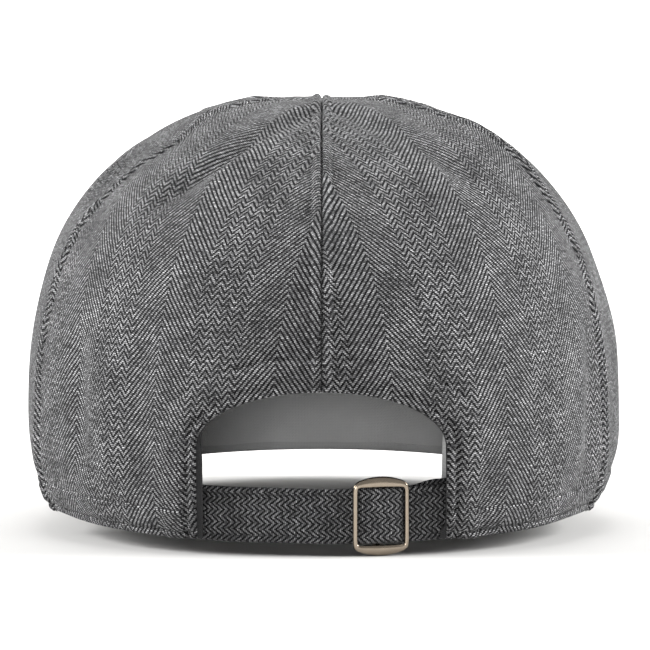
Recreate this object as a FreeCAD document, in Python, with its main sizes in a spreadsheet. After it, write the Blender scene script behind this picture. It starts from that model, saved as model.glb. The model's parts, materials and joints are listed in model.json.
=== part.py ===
"""A six-panel cloth cap with a curved visor, a rear opening, a cloth strap and a slide buckle.

The cap is drawn in its own rim frame: the rim lies in the XY plane round the origin, the crown
rises along +Z, the visor points to -Y and the rear opening to +Y. Left and right are the
wearer's, so left is +X. Every sub-part is then tipped by one angle about X, so that the buckle
and the visor's two edges stand on one level.
"""
import FreeCAD, Part
import math
import os
import Sketcher
from FreeCAD import Placement, Rotation, Vector

X_AXIS = Vector(1, 0, 0)
Y_AXIS = Vector(0, 1, 0)
Z_AXIS = Vector(0, 0, 1)

doc = FreeCAD.newDocument("cap")

# ---------------------------------------------------------------- driving dimensions
SIZES = (
    ("rim_half_width", 83.0, "rim, outer half width along X"),
    ("rim_half_length", 100.0, "rim, outer half length along Y"),
    ("rear_radius", 76.0, "rim, radius of its rear arc"),
    ("front_radius", 70.0, "rim, radius of its front arc"),
    ("rim_tuck", 5.0, "how far the rim is drawn in below the widest level"),
    ("widest_height", 23.0, "height of the crown's widest level"),
    ("crown_height", 119.0, "height of the crown"),
    ("crown_lean", -10.0, "place of the crown's apex along Y"),
    ("crown_fullness", 2.5, "exponent of the crown's superellipse profile"),
    ("cloth_thickness", 1.2, "crown cloth"),
    ("tape_thickness", 0.6, "seam tape and binding"),
    ("tape_width", 12.0, "seam tape"),
    ("buckram_thickness", 0.8, "stiff liner of the front panels"),
    ("buckram_height", 92.0, "top of the stiff liner"),
    ("rear_seam_angle", 60.0, "rear side seams, from the rear"),
    ("front_seam_angle", 120.0, "front side seams, from the rear"),
    ("opening_half_width", 35.0, "rear opening"),
    ("opening_side_height", 27.0, "where the opening's arch springs"),
    ("opening_arch_rise", 15.8, "rise of the opening's arch"),
    ("binding_width", 8.0, "binding round the opening"),
    ("layer_gap", 0.25, "clearance between layers that slide"),
    ("strap_width", 15.4, "height of the strap's band"),
    ("strap_thickness", 1.8, "two plies of cloth"),
    ("strap_left_angle", 42.0, "sewn end of the strap"),
    ("strap_right_angle", 50.0, "free end of the strap"),
    ("loop_width", 15.0, "height of the buckle loop's band"),
    ("loop_thickness", 1.6, "two plies of the buckle loop"),
    ("loop_tail_angle", 54.0, "end of the buckle loop"),
    ("buckle_angle", 12.6, "place of the buckle, to the right"),
    ("buckle_half_width", 7.9, "buckle frame"),
    ("buckle_rail_width", 1.15, "rails above and below the window, at the frame's corners"),
    ("buckle_rail_rise", 1.9, "rise of the curved rails over the corners"),
    ("buckle_bar_width", 1.25, "side bars"),
    ("buckle_thickness", 1.6, "frame"),
    ("buckle_rock_gap", 0.75, "room for the frame to rock over the strap"),
    ("centre_bar_radius", 0.8, "centre bar"),
    ("centre_bar_play", 0.25, "play of the centre bar in the loop's eye"),
    ("lug_width", 2.4, "lugs that carry the centre bar"),
    ("sweatband_height", 32.0, "sweatband"),
    ("sweatband_thickness", 2.4, "sweatband"),
    ("padding_thickness", 1.2, "foam in the sweatband"),
    ("padding_bottom", 11.0, "lower edge of the foam"),
    ("padding_top", 29.0, "upper edge of the foam"),
    ("padding_angle", 110.0, "ends of the foam, from the rear"),
    ("visor_end", -38.0, "where the visor's ends meet the rim, along Y"),
    ("visor_bend_radius", 170.0, "bend of the visor"),
    ("visor_slope", 5.0, "downward slope of the visor"),
    ("visor_half_width", 86.0, "visor"),
    ("visor_widest", -66.0, "where the visor is widest, along Y"),
    ("visor_reach", 68.0, "visor in front of the rim"),
    ("visor_cloth", 1.0, "each cloth face of the visor"),
    ("visor_board", 2.0, "visor board"),
    ("button_radius", 8.5, "top button"),
    ("button_height", 2.4, "top button"),
    ("button_edge", 0.9, "height of the button's edge"),
    ("button_cover", 0.8, "cloth over the button"),
    ("button_shell", 0.5, "metal shell of the button"),
    ("button_seat", 1.0, "how deep the button sits in the crown"),
    ("post_radius", 1.3, "button post"),
    ("post_play", 0.2, "hole round the post"),
    ("washer_radius", 7.0, "washer under the crown"),
    ("washer_thickness", 0.8, "washer under the crown"),
)
sheet = doc.addObject("Spreadsheet::Sheet", "Sizes")
for row, (alias, value, meaning) in enumerate(SIZES, start=1):
    sheet.set(f"A{row}", meaning)
    sheet.set(f"B{row}", str(value))
    sheet.setAlias(f"B{row}", alias)
doc.recompute()
size = {alias: float(getattr(sheet, alias)) for alias, _, _ in SIZES}

# How far cuts run past what they cut, and how far the sweatband stands past the opening's edge.
OVERRUN = 5.0
SWEATBAND_SETBACK = 1.5
# How far past its resting place the buckle's loop may slide into its pocket, in degrees.
LOOP_TRAVEL = 6.0
# Levels of the crown's lofts: shares of the widest height, then turns of the dome in degrees.
LOWER_SHARES = (0.0, 0.15, 0.35, 0.6, 1.0)
TUCK_EXPONENT = 2.4
DOME_TURNS = (16, 30, 43, 55, 65, 73, 79)
# How far the flat top reaches past the button.
BUTTON_MARGIN = 1.0


# ---------------------------------------------------------------- worked-out dimensions
REAR_CENTRE = size["rim_half_length"] - size["rear_radius"]
FRONT_CENTRE = size["front_radius"] - size["rim_half_length"]
LINING = max(size["tape_thickness"], size["buckram_thickness"])

# Radii of the strap's stack about the rear centre, from the crown cloth inwards.
STRAP_OUTER = (size["rear_radius"] - size["cloth_thickness"] - size["tape_thickness"]
               - size["layer_gap"])
STRAP_INNER = STRAP_OUTER - size["strap_thickness"]
LOOP_OUTER = STRAP_INNER - size["layer_gap"]
LOOP_INNER = LOOP_OUTER - size["loop_thickness"]
SWEATBAND_REAR = LOOP_INNER - size["layer_gap"]
EYE_HOLE = size["centre_bar_radius"] + size["centre_bar_play"]
EYE_RADIUS = EYE_HOLE + size["loop_thickness"] / 2
BAR_PLACE = LOOP_OUTER - EYE_RADIUS
FRAME_PLACE = STRAP_OUTER + size["buckle_rock_gap"] - BAR_PLACE

VISOR_THICKNESS = size["visor_board"] + 2 * size["visor_cloth"]
WINDOW_HALF_HEIGHT = size["strap_width"] / 2 + size["layer_gap"]
CORNER_HALF_HEIGHT = WINDOW_HALF_HEIGHT + size["buckle_rail_width"]


def side_bow(half_width, rear_radius, front_radius):
    """Distance from the Y axis to the centre of an oval's side arc, which touches both ends."""
    rear_step = half_width - rear_radius
    front_step = half_width - front_radius
    low, high = 0.0, 10 * half_width
    for _ in range(60):
        bow = (low + high) / 2
        span = math.sqrt(rear_step * (2 * bow + rear_step))
        span += math.sqrt(front_step * (2 * bow + front_step))
        low, high = (bow, high) if span < REAR_CENTRE - FRONT_CENTRE else (low, bow)
    return bow


def oval(height, half_width, rear_radius, front_radius, scale=1.0, shift=0.0):
    """Closed wire of four tangent arcs at one height, starting at the rear end of its left side."""
    bow = side_bow(half_width, rear_radius, front_radius)
    rear_step = half_width - rear_radius
    side_centre = REAR_CENTRE - math.sqrt(rear_step * (2 * bow + rear_step))
    rear_turn = math.atan2(REAR_CENTRE - side_centre, bow)
    front_turn = math.atan2(FRONT_CENTRE - side_centre, bow)

    def at(centre_y, radius, angle, centre_x=0.0):
        x = centre_x + radius * math.cos(angle)
        y = centre_y + radius * math.sin(angle)
        return Vector(x * scale, y * scale + shift, height)

    def mirrored(point):
        return Vector(-point.x, point.y, point.z)

    rear = at(REAR_CENTRE, rear_radius, rear_turn)
    front = at(FRONT_CENTRE, front_radius, front_turn)
    side = at(side_centre, half_width + bow, 0.0, -bow)
    back = at(REAR_CENTRE, rear_radius, math.pi / 2)
    nose = at(FRONT_CENTRE, front_radius, -math.pi / 2)
    arcs = (
        Part.Arc(rear, back, mirrored(rear)),
        Part.Arc(mirrored(rear), mirrored(side), mirrored(front)),
        Part.Arc(mirrored(front), nose, front),
        Part.Arc(front, side, rear),
    )
    return Part.Wire([arc.toShape() for arc in arcs])


def crown_oval(height, grow, inset, scale=1.0, shift=0.0):
    """One level of the crown: the rim's oval, drawn out by grow and in by inset."""
    offset = grow - inset
    return oval(height, size["rim_half_width"] + offset, size["rear_radius"] + offset,
                size["front_radius"] + offset, scale, shift)


def crown_levels(inset):
    """Wires of the crown from the rim to its flat top, each inset from the outside."""
    widest = size["widest_height"]
    wires = []
    for share in LOWER_SHARES:
        grow = size["rim_tuck"] * (1 - (1 - share) ** TUCK_EXPONENT)
        wires.append(crown_oval(share * widest, grow, inset))
    dome = size["crown_height"] - inset - widest
    power = 2 / size["crown_fullness"]
    for turn in DOME_TURNS:
        scale = math.cos(math.radians(turn)) ** power
        rise = math.sin(math.radians(turn)) ** power
        shift = size["crown_lean"] * rise ** 2
        wires.append(crown_oval(widest + dome * rise, size["rim_tuck"], inset, scale, shift))
    return wires


TOP_LEVEL = (size["widest_height"] + (size["crown_height"] - size["widest_height"])
             * math.sin(math.radians(DOME_TURNS[-1])) ** (2 / size["crown_fullness"])
             - size["button_seat"])


def top_disc(inset):
    """Small round level that the button sits on."""
    radius = size["button_radius"] + BUTTON_MARGIN
    centre = Vector(0, size["crown_lean"], TOP_LEVEL - inset)
    return Part.Wire([Part.Circle(centre, Z_AXIS, radius).toShape()])


def rim_width_at(y):
    """Half width of the rim's oval where it crosses a line across the cap."""
    bow = side_bow(size["rim_half_width"], size["rear_radius"], size["front_radius"])
    rear_step = size["rim_half_width"] - size["rear_radius"]
    side_centre = REAR_CENTRE - math.sqrt(rear_step * (2 * bow + rear_step))
    return math.sqrt((size["rim_half_width"] + bow) ** 2 - (y - side_centre) ** 2) - bow


# The visor is bent about an axis that runs forward and down, through the rim at both its ends.
VISOR_END_WIDTH = rim_width_at(size["visor_end"])
VISOR_BOW = size["visor_bend_radius"] - math.sqrt(size["visor_bend_radius"] ** 2
                                                  - VISOR_END_WIDTH ** 2)
VISOR_FRAME = Placement(Vector(0, size["visor_end"], 0), Rotation(X_AXIS, size["visor_slope"]))
BEND_AXIS = VISOR_FRAME * Placement(Vector(0, 0, VISOR_BOW - size["visor_bend_radius"]),
                                    Rotation(X_AXIS, 90))


def visor_underside(x, y):
    """Height of the visor's lower face in the rim frame."""
    slope = math.radians(size["visor_slope"])
    low_radius = size["visor_bend_radius"] - VISOR_THICKNESS
    local = VISOR_BOW - size["visor_bend_radius"] + math.sqrt(low_radius ** 2 - x ** 2)
    return local * math.cos(slope) + (y - size["visor_end"]) * math.sin(slope)


def rest_pitch():
    """Angle that brings the buckle's foot and the visor's lowest edge to one level."""
    buckle_foot = size["strap_width"] / 2 - CORNER_HALF_HEIGHT - size["buckle_rail_rise"]
    buckle_y = REAR_CENTRE + (BAR_PLACE + FRAME_PLACE) * math.cos(math.radians(size["buckle_angle"]))
    reach = size["rim_half_length"] + size["visor_reach"] + size["visor_widest"]
    pitch = 0.0
    for _ in range(30):
        drops = []
        for step in range(91):
            turn = math.radians(step)
            x = size["visor_half_width"] * math.cos(turn)
            y = size["visor_widest"] - reach * math.sin(turn)
            drops.append((visor_underside(x, y) - y * math.tan(pitch), y))
        lowest, lowest_y = min(drops)
        visor_foot = lowest + lowest_y * math.tan(pitch)
        pitch = math.atan((buckle_foot - visor_foot) / (buckle_y - lowest_y))
    return math.degrees(pitch)


# ---------------------------------------------------------------- helpers for Part objects
def bind(item, **expressions):
    """Tie an object's properties to cells of the sheet."""
    for name, expression in expressions.items():
        item.setExpression(name, expression)
    return item


def feature(name, shape):
    """Object whose shape is worked out here."""
    item = doc.addObject("Part::Feature", name)
    item.Shape = shape
    return item


def loft(name, wires):
    """Solid through closed wires."""
    item = doc.addObject("Part::Loft", name)
    item.Sections = [feature(f"{name}_level", wire) for wire in wires]
    item.Solid = True
    item.Ruled = False
    return item


def extrusion(name, wire, direction, length):
    """Prism on a closed wire. length is an expression."""
    item = doc.addObject("Part::Extrusion", name)
    item.Base = feature(f"{name}_outline", wire)
    item.DirMode = "Custom"
    item.Dir = direction
    item.Solid = True
    return bind(item, LengthFwd=length)


def cut(name, base, tool):
    """First object less the second."""
    item = doc.addObject("Part::Cut", name)
    item.Base = base
    item.Tool = tool
    return item


def common(name, *items):
    """What the objects share."""
    item = doc.addObject("Part::MultiCommon", name)
    item.Shapes = list(items)
    return item


def fuse(name, *items):
    """The objects joined."""
    item = doc.addObject("Part::MultiFuse", name)
    item.Shapes = list(items)
    return item


def cylinder(name, radius, height, placement, angle="360"):
    """Cylinder or sector. radius, height and angle are expressions."""
    item = doc.addObject("Part::Cylinder", name)
    item.Placement = placement
    return bind(item, Radius=radius, Height=height, Angle=angle)


# ---------------------------------------------------------------- helpers for bodies
def body(label):
    """Empty body that carries a sub-part's name."""
    item = doc.addObject("PartDesign::Body", label)
    item.Label = label
    return item


def sketch(owner, name, role, offset=0.0):
    """Sketch on one of the body's own origin planes, moved along its normal by offset."""
    item = owner.newObject("Sketcher::SketchObject", name)
    plane = [entry for entry in owner.Origin.OriginFeatures if entry.Role == role][0]
    item.AttachmentSupport = (plane, [""])
    item.MapMode = "FlatFace"
    item.AttachmentOffset = Placement(Vector(0, 0, offset), Rotation())
    return item


def polygon(item, corners):
    """Closed polygon. Each corner is a pair of (value, expression) for x and for y."""
    first = item.GeometryCount
    points = [Vector(x[0], y[0], 0) for x, y in corners]
    count = len(points)
    for index in range(count):
        item.addGeometry(Part.LineSegment(points[index], points[(index + 1) % count]), False)
    for index in range(count):
        item.addConstraint(Sketcher.Constraint("Coincident", first + index, 2,
                                               first + (index + 1) % count, 1))
    for index, (x, y) in enumerate(corners):
        place(item, first + index, 1, x, y)


def place(item, curve, end, x, y):
    """Fix a point of a curve. x and y are pairs of (value, expression)."""
    for axis, (value, expression) in (("X", x), ("Y", y)):
        if expression == "0":
            helper = -2 if axis == "X" else -1
            item.addConstraint(Sketcher.Constraint("PointOnObject", curve, end, helper))
            continue
        origin, point = (-1, 1), (curve, end)
        if value < 0:
            origin, point = point, origin
            expression = f"-({expression})"
        index = item.addConstraint(
            Sketcher.Constraint(f"Distance{axis}", *origin, *point, abs(value)))
        item.setExpression(f"Constraints[{index}]", expression)


def circle(item, x, radius):
    """Circle centred on the sketch's X axis. x and radius are pairs of (value, expression)."""
    curve = item.addGeometry(Part.Circle(Vector(x[0], 0, 0), Z_AXIS, radius[0]), False)
    place(item, curve, 3, x, (0.0, "0"))
    index = item.addConstraint(Sketcher.Constraint("Radius", curve, radius[0]))
    item.setExpression(f"Constraints[{index}]", radius[1])


def dome(item, radius, edge, height):
    """Half section of a low dome on the V axis: a flat foot, an upright edge and an arc."""
    (r, radius_text), (e, edge_text), (h, height_text) = radius, edge, height
    centre = (h * h - e * e - r * r) / (2 * (h - e))
    item.addGeometry(Part.LineSegment(Vector(0, 0, 0), Vector(r, 0, 0)), False)
    item.addGeometry(Part.LineSegment(Vector(r, 0, 0), Vector(r, e, 0)), False)
    whole = Part.Circle(Vector(0, centre, 0), Z_AXIS, h - centre)
    start = math.atan2(e - centre, r)
    item.addGeometry(Part.ArcOfCircle(whole, start, math.pi / 2), False)
    item.addGeometry(Part.LineSegment(Vector(0, h, 0), Vector(0, 0, 0)), False)
    for curve, end, other, start_end in ((0, 2, 1, 1), (1, 2, 2, 1), (2, 2, 3, 1), (3, 2, 0, 1)):
        item.addConstraint(Sketcher.Constraint("Coincident", curve, end, other, start_end))
    item.addConstraint(Sketcher.Constraint("Coincident", 0, 1, -1, 1))
    item.addConstraint(Sketcher.Constraint("Horizontal", 0))
    item.addConstraint(Sketcher.Constraint("Vertical", 1))
    item.addConstraint(Sketcher.Constraint("Vertical", 3))
    item.addConstraint(Sketcher.Constraint("PointOnObject", 2, 3, -2))
    for axis, curve, text, value in (("X", 0, radius_text, r), ("Y", 1, edge_text, e),
                                     ("Y", 3, height_text, h)):
        ends = (curve, 1, curve, 2) if curve < 3 else (curve, 2, curve, 1)
        index = item.addConstraint(Sketcher.Constraint(f"Distance{axis}", *ends, value))
        item.setExpression(f"Constraints[{index}]", text)


def revolved(owner, kind, name, profile, angle="360"):
    """Revolution or groove of a sketch about the body's Z axis."""
    item = owner.newObject(f"PartDesign::{kind}", name)
    item.Profile = profile
    item.ReferenceAxis = (profile, ["V_Axis"])
    return bind(item, Angle=angle)


def padded(owner, kind, name, profile, length, middle=False, backwards=False):
    """Pad or pocket of a sketch. length is an expression."""
    item = owner.newObject(f"PartDesign::{kind}", name)
    item.Profile = profile
    item.Midplane = middle
    item.Reversed = backwards
    return bind(item, Length=length)


# ---------------------------------------------------------------- the crown's layers
def part_name(label, item, placement=None):
    """Give a finished sub-part its name and tip it with the rest of the cap."""
    item.Label = label
    item.Placement = TIP * placement if placement else TIP
    sub_parts.append(item)
    return item


TIP = Placement(Vector(0, 0, 0), Rotation(X_AXIS, -rest_pitch()))
sub_parts = []

outside = loft("crown_outside", crown_levels(0.0) + [top_disc(0.0)])
cloth_inside = loft("cloth_inside", crown_levels(size["cloth_thickness"])
                    + [top_disc(size["cloth_thickness"])])
tape_depth = size["cloth_thickness"] + size["tape_thickness"]
tape_inside = loft("tape_inside", crown_levels(tape_depth) + [top_disc(tape_depth)])
buckram_depth = size["cloth_thickness"] + size["buckram_thickness"]
buckram_inside = loft("buckram_inside", crown_levels(buckram_depth) + [top_disc(buckram_depth)])


def arch(grow):
    """Outline of the rear opening in an upright plane in front of it, drawn out by grow."""
    half_width = size["opening_half_width"] + grow
    rise = size["opening_arch_rise"] + grow
    spring = size["opening_side_height"]
    matrix = FreeCAD.Matrix()
    matrix.scale(half_width, 1, rise)
    half_circle = Part.makeCircle(1, Vector(0, 0, 0), Vector(0, -1, 0), 0, 180)
    top = half_circle.transformGeometry(matrix)
    top.translate(Vector(0, 0, spring))
    ends = [vertex.Point for vertex in top.Vertexes]
    left = max(ends, key=lambda point: point.x)
    right = min(ends, key=lambda point: point.x)
    low_left = Vector(left.x, 0, -OVERRUN)
    low_right = Vector(right.x, 0, -OVERRUN)
    sides = [Part.makeLine(left, low_left), Part.makeLine(low_left, low_right),
             Part.makeLine(low_right, right)]
    return Part.Wire(Part.__sortEdges__([top] + sides))


full_length = "2 * Sizes.rim_half_length"
opening = extrusion("opening", arch(0.0), Y_AXIS, full_length)
binding_reach = extrusion("binding_reach", arch(size["binding_width"]), Y_AXIS, full_length)

# The visor's bend, as solids on one axis: what the crown, the board and the lining rest on.
bend_length = f"{full_length} + Sizes.visor_reach"
visor_top = cylinder("visor_top", "Sizes.visor_bend_radius", bend_length, BEND_AXIS)
board_top = cylinder("board_top", "Sizes.visor_bend_radius - Sizes.visor_cloth", bend_length,
                     BEND_AXIS)
board_bottom = cylinder("board_bottom",
                        "Sizes.visor_bend_radius - Sizes.visor_cloth - Sizes.visor_board",
                        bend_length, BEND_AXIS)
visor_bottom = cylinder("visor_bottom",
                        "Sizes.visor_bend_radius - 2 * Sizes.visor_cloth - Sizes.visor_board",
                        bend_length, BEND_AXIS)

apex = Vector(0, size["crown_lean"], 0)
below = apex - OVERRUN * Z_AXIS
post_hole = cylinder("post_hole", "Sizes.post_radius + Sizes.post_play",
                     "2 * Sizes.crown_height", Placement(apex, Rotation()))
crown_openings = fuse("crown_openings", opening, visor_top, post_hole)
cloth_shell = cut("cloth_shell", outside, cloth_inside)
crown_cloth = cut("crown_cloth", cloth_shell, crown_openings)


def sector(name, start, sweep):
    """Upright sector about the crown's apex. start is an angle from +X, sweep an expression."""
    return cylinder(name, "4 * Sizes.rim_half_length", "2 * Sizes.crown_height",
                    Placement(below, Rotation(Z_AXIS, start)), sweep)


REAR_SEAM = size["rear_seam_angle"]
FRONT_SEAM = size["front_seam_angle"]
side_sweep = "Sizes.front_seam_angle - Sizes.rear_seam_angle"
front_sweep = "180 - Sizes.front_seam_angle"
SECTORS = {
    "back_panel_left": (90 - REAR_SEAM, "Sizes.rear_seam_angle"),
    "back_panel_right": (90, "Sizes.rear_seam_angle"),
    "side_panel_left": (90 - FRONT_SEAM, side_sweep),
    "side_panel_right": (90 + REAR_SEAM, side_sweep),
    "front_panel_left": (-90, front_sweep),
    "front_panel_right": (90 + FRONT_SEAM, front_sweep),
}
sectors = {name: sector(f"{name}_sector", *span) for name, span in SECTORS.items()}
for name, wedge in sectors.items():
    part_name(name, common(f"{name}_cloth", crown_cloth, wedge))

# ---------------------------------------------------------------- tapes, liners and binding
# Everything under the cloth stops short of the post, where the seams run together.
narrowest = min(REAR_SEAM, FRONT_SEAM - REAR_SEAM, 180 - FRONT_SEAM)
TAPE_START = (size["tape_width"] / 2 / math.sin(math.radians(narrowest / 2))
              + size["layer_gap"])
SEAMS = {
    "seam_tape_back": 90,
    "seam_tape_back_left": 90 - REAR_SEAM,
    "seam_tape_back_right": 90 + REAR_SEAM,
    "seam_tape_front_left": 90 - FRONT_SEAM,
    "seam_tape_front_right": 90 + FRONT_SEAM,
    "seam_tape_front": -90,
}


def seam_slab(name, direction):
    """Upright slab along a seam. direction is an angle from +X."""
    item = doc.addObject("Part::Box", f"{name}_slab")
    turn = Placement(below, Rotation(Z_AXIS, direction))
    item.Placement = turn * Placement(Vector(TAPE_START, -size["tape_width"] / 2, 0), Rotation())
    return bind(item, Length="2 * Sizes.rim_half_length", Width="Sizes.tape_width",
                Height="2 * Sizes.crown_height")


tape_layer = cut("tape_layer", cloth_inside, tape_inside)
tape_limits = fuse("tape_limits", binding_reach, visor_top)
tape_free = cut("tape_free", tape_layer, tape_limits)
slabs = {name: seam_slab(name, direction) for name, direction in SEAMS.items()}
for name, slab in slabs.items():
    part_name(name, common(f"{name}_strip", tape_free, slab))

binding_ring = cut("binding_ring", binding_reach, opening)
part_name("opening_binding", common("binding", tape_layer, binding_ring))

liner_cap = cylinder("liner_cap", "4 * Sizes.rim_half_length", "Sizes.buckram_height",
                     Placement(apex, Rotation()))
liner_layer = cut("liner_layer", cloth_inside, buckram_inside)
liner_limits = fuse("liner_limits", visor_top, slabs["seam_tape_front"],
                    slabs["seam_tape_front_left"], slabs["seam_tape_front_right"])
liner_free = cut("liner_free", liner_layer, liner_limits)
for side in ("left", "right"):
    wedge = sectors[f"front_panel_{side}"]
    part_name(f"front_buckram_{side}", common(f"buckram_{side}", liner_free, wedge, liner_cap))

# ---------------------------------------------------------------- the sweatband
stack = ("Sizes.rear_radius - Sizes.cloth_thickness - Sizes.tape_thickness"
         " - Sizes.layer_gap")
strap_inner_text = f"{stack} - Sizes.strap_thickness"
loop_outer_text = f"{strap_inner_text} - Sizes.layer_gap"
loop_inner_text = f"{loop_outer_text} - Sizes.loop_thickness"

LINING_INSET = size["cloth_thickness"] + LINING + size["layer_gap"]


def band_oval(height, inset):
    """Oval of the sweatband, inset from its outer face."""
    return oval(height, size["rim_half_width"] - LINING_INSET - inset, SWEATBAND_REAR - inset,
                size["front_radius"] - LINING_INSET - inset)


def ring(name, bottom, inset, thickness, height):
    """Upright ring of the sweatband's shape. height is an expression."""
    outer = extrusion(f"{name}_outer", band_oval(bottom, inset), Z_AXIS, height)
    inner = extrusion(f"{name}_inner", band_oval(bottom, inset + thickness), Z_AXIS, height)
    return cut(name, outer, inner)


def foam(name):
    """Foam strip in the middle of the sweatband's wall, round the front of the head."""
    wall = (size["sweatband_thickness"] - size["padding_thickness"]) / 2
    strip = ring(f"{name}_strip", size["padding_bottom"], wall, size["padding_thickness"],
                 "Sizes.padding_top - Sizes.padding_bottom")
    reach = sector(f"{name}_reach", 90 + size["padding_angle"], "360 - 2 * Sizes.padding_angle")
    return common(name, strip, reach)


rear_gap = doc.addObject("Part::Box", "rear_gap")
gap_half_width = size["opening_half_width"] + SWEATBAND_SETBACK
rear_gap.Placement = Placement(Vector(-gap_half_width, 0, -OVERRUN), Rotation())
bind(rear_gap, Length=f"2 * (Sizes.opening_half_width + {SWEATBAND_SETBACK})",
     Width="2 * Sizes.rim_half_length", Height="2 * Sizes.crown_height")
band = ring("band", 0.0, 0.0, size["sweatband_thickness"], "Sizes.sweatband_height")
# The strap and its loop slide on a circle, so the band's outer face follows that circle there.
stack_turn = Placement(Vector(0, REAR_CENTRE, -size["layer_gap"]),
                       Rotation(Z_AXIS, 90 - size["loop_tail_angle"] - LOOP_TRAVEL))
room_sweep = f"2 * (Sizes.loop_tail_angle + {LOOP_TRAVEL})"
room_height = "Sizes.strap_width + 2 * Sizes.layer_gap"
room_outside = cylinder("room_outside", "Sizes.rear_radius", room_height, stack_turn, room_sweep)
room_inside = cylinder("room_inside", loop_inner_text + " - Sizes.layer_gap", room_height,
                       stack_turn, room_sweep)
strap_room = cut("strap_room", room_outside, room_inside)
band_limits = fuse("band_limits", rear_gap, visor_bottom, foam("foam_room"), strap_room)
part_name("sweatband", cut("band_cut", band, band_limits))
part_name("sweatband_padding", foam("foam_strip"))


# ---------------------------------------------------------------- the visor
def visor_outline():
    """Plan of the visor's edge, from one end on the rim round the front to the other."""
    half_width = size["visor_half_width"]
    widest = size["visor_widest"]
    step = half_width - VISOR_END_WIDTH
    drop = size["visor_end"] - widest
    corner = (step ** 2 + drop ** 2) / (2 * step)
    turn = math.asin(drop / corner) / 2
    centre = half_width - corner
    end = Vector(VISOR_END_WIDTH, size["visor_end"], 0)
    middle = Vector(centre + corner * math.cos(turn), widest + corner * math.sin(turn), 0)
    wide = Vector(half_width, widest, 0)
    reach = size["rim_half_length"] + size["visor_reach"] + widest
    matrix = FreeCAD.Matrix()
    matrix.scale(half_width, reach, 1)
    front = Part.makeCircle(1, Vector(0, 0, 0), Z_AXIS, 180, 360).transformGeometry(matrix)
    front.translate(Vector(0, widest, 0))

    def mirrored(point):
        return Vector(-point.x, point.y, point.z)

    edges = [
        Part.Arc(end, middle, wide).toShape(),
        front,
        Part.Arc(mirrored(wide), mirrored(middle), mirrored(end)).toShape(),
        Part.makeLine(mirrored(end), end),
    ]
    wire = Part.Wire(Part.__sortEdges__(edges))
    wire.translate(-size["crown_height"] * Z_AXIS)
    return wire


visor_plan = extrusion("visor_plan", visor_outline(), Z_AXIS, "2 * Sizes.crown_height")
head_room = extrusion("head_room", crown_oval(-size["crown_height"], 0.0,
                                              size["cloth_thickness"]),
                      Z_AXIS, "2 * Sizes.crown_height")
visor_room = cut("visor_room", visor_plan, head_room)
for name, upper, lower in (("visor_top_cloth", visor_top, board_top),
                           ("visor_board", board_top, board_bottom),
                           ("visor_bottom_cloth", board_bottom, visor_bottom)):
    layer = cut(f"{name}_bend", upper, lower)
    part_name(name, common(f"{name}_sheet", layer, visor_room))

# ---------------------------------------------------------------- the top button
BUTTON_PLACE = Placement(Vector(0, size["crown_lean"], TOP_LEVEL), Rotation())
cover_radius = (size["button_radius"], "Sizes.button_radius")
cover_edge = (size["button_edge"], "Sizes.button_edge")
cover_height = (size["button_height"], "Sizes.button_height")


def inset_dome(item, inset, text):
    """Dome of the button, inset from its cloth."""
    dome(item, (cover_radius[0] - inset, f"{cover_radius[1]} - ({text})"),
         (cover_edge[0] - inset / 2, f"{cover_edge[1]} - ({text}) / 2"),
         (cover_height[0] - inset, f"{cover_height[1]} - ({text})"))


def domed_shell(label, outer, outer_text, inner, inner_text):
    """Domed shell between two insets of the button."""
    item = body(label)
    whole = sketch(item, f"{label}_outside", "XZ_Plane")
    inset_dome(whole, outer, outer_text)
    revolved(item, "Revolution", f"{label}_dome", whole)
    hollow = sketch(item, f"{label}_inside", "XZ_Plane")
    inset_dome(hollow, inner, inner_text)
    revolved(item, "Groove", f"{label}_hollow", hollow)
    return part_name(label, item, BUTTON_PLACE)


cloth_text = "Sizes.button_cover"
shell_text = "Sizes.button_cover + Sizes.button_shell"
shell_inset = size["button_cover"] + size["button_shell"]
domed_shell("button_cover", 0.0, "0", size["button_cover"], cloth_text)
domed_shell("button_shell", size["button_cover"], cloth_text, shell_inset, shell_text)

post = body("button_post")
post_profile = sketch(post, "post_profile", "XZ_Plane")
shaft = (size["post_radius"], "Sizes.post_radius")
rim_of_washer = (size["washer_radius"], "Sizes.washer_radius")
head = (size["button_height"] - shell_inset, f"Sizes.button_height - ({shell_text})")
seat = (-size["cloth_thickness"], "-Sizes.cloth_thickness")
foot = (-size["cloth_thickness"] - size["washer_thickness"],
        "-Sizes.cloth_thickness - Sizes.washer_thickness")
axis = (0.0, "0")
polygon(post_profile, ((axis, foot), (rim_of_washer, foot), (rim_of_washer, seat),
                       (shaft, seat), (shaft, head), (axis, head)))
revolved(post, "Revolution", "post_and_washer", post_profile)
part_name("button_post", post, BUTTON_PLACE)

# ---------------------------------------------------------------- the strap
BACK = Placement(Vector(0, REAR_CENTRE, 0), Rotation())


def about_rear(angle):
    """Placement about the rear centre, with local X at an angle to the right of the rear."""
    return BACK * Placement(Vector(0, 0, 0), Rotation(Z_AXIS, 90 + angle))


eye_text = "Sizes.centre_bar_radius + Sizes.centre_bar_play"
eye_outer_text = f"{eye_text} + Sizes.loop_thickness / 2"
bar_place_text = f"{loop_outer_text} - ({eye_outer_text})"

strap = body("adjustment_strap")
strap_profile = sketch(strap, "strap_profile", "XZ_Plane")
polygon(strap_profile, (((STRAP_INNER, strap_inner_text), axis),
                        ((STRAP_OUTER, stack), axis),
                        ((STRAP_OUTER, stack), (size["strap_width"], "Sizes.strap_width")),
                        ((STRAP_INNER, strap_inner_text),
                         (size["strap_width"], "Sizes.strap_width"))))
revolved(strap, "Revolution", "strap_band", strap_profile,
         "Sizes.strap_left_angle + Sizes.strap_right_angle")
part_name("adjustment_strap", strap, about_rear(-size["strap_left_angle"]))

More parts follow.
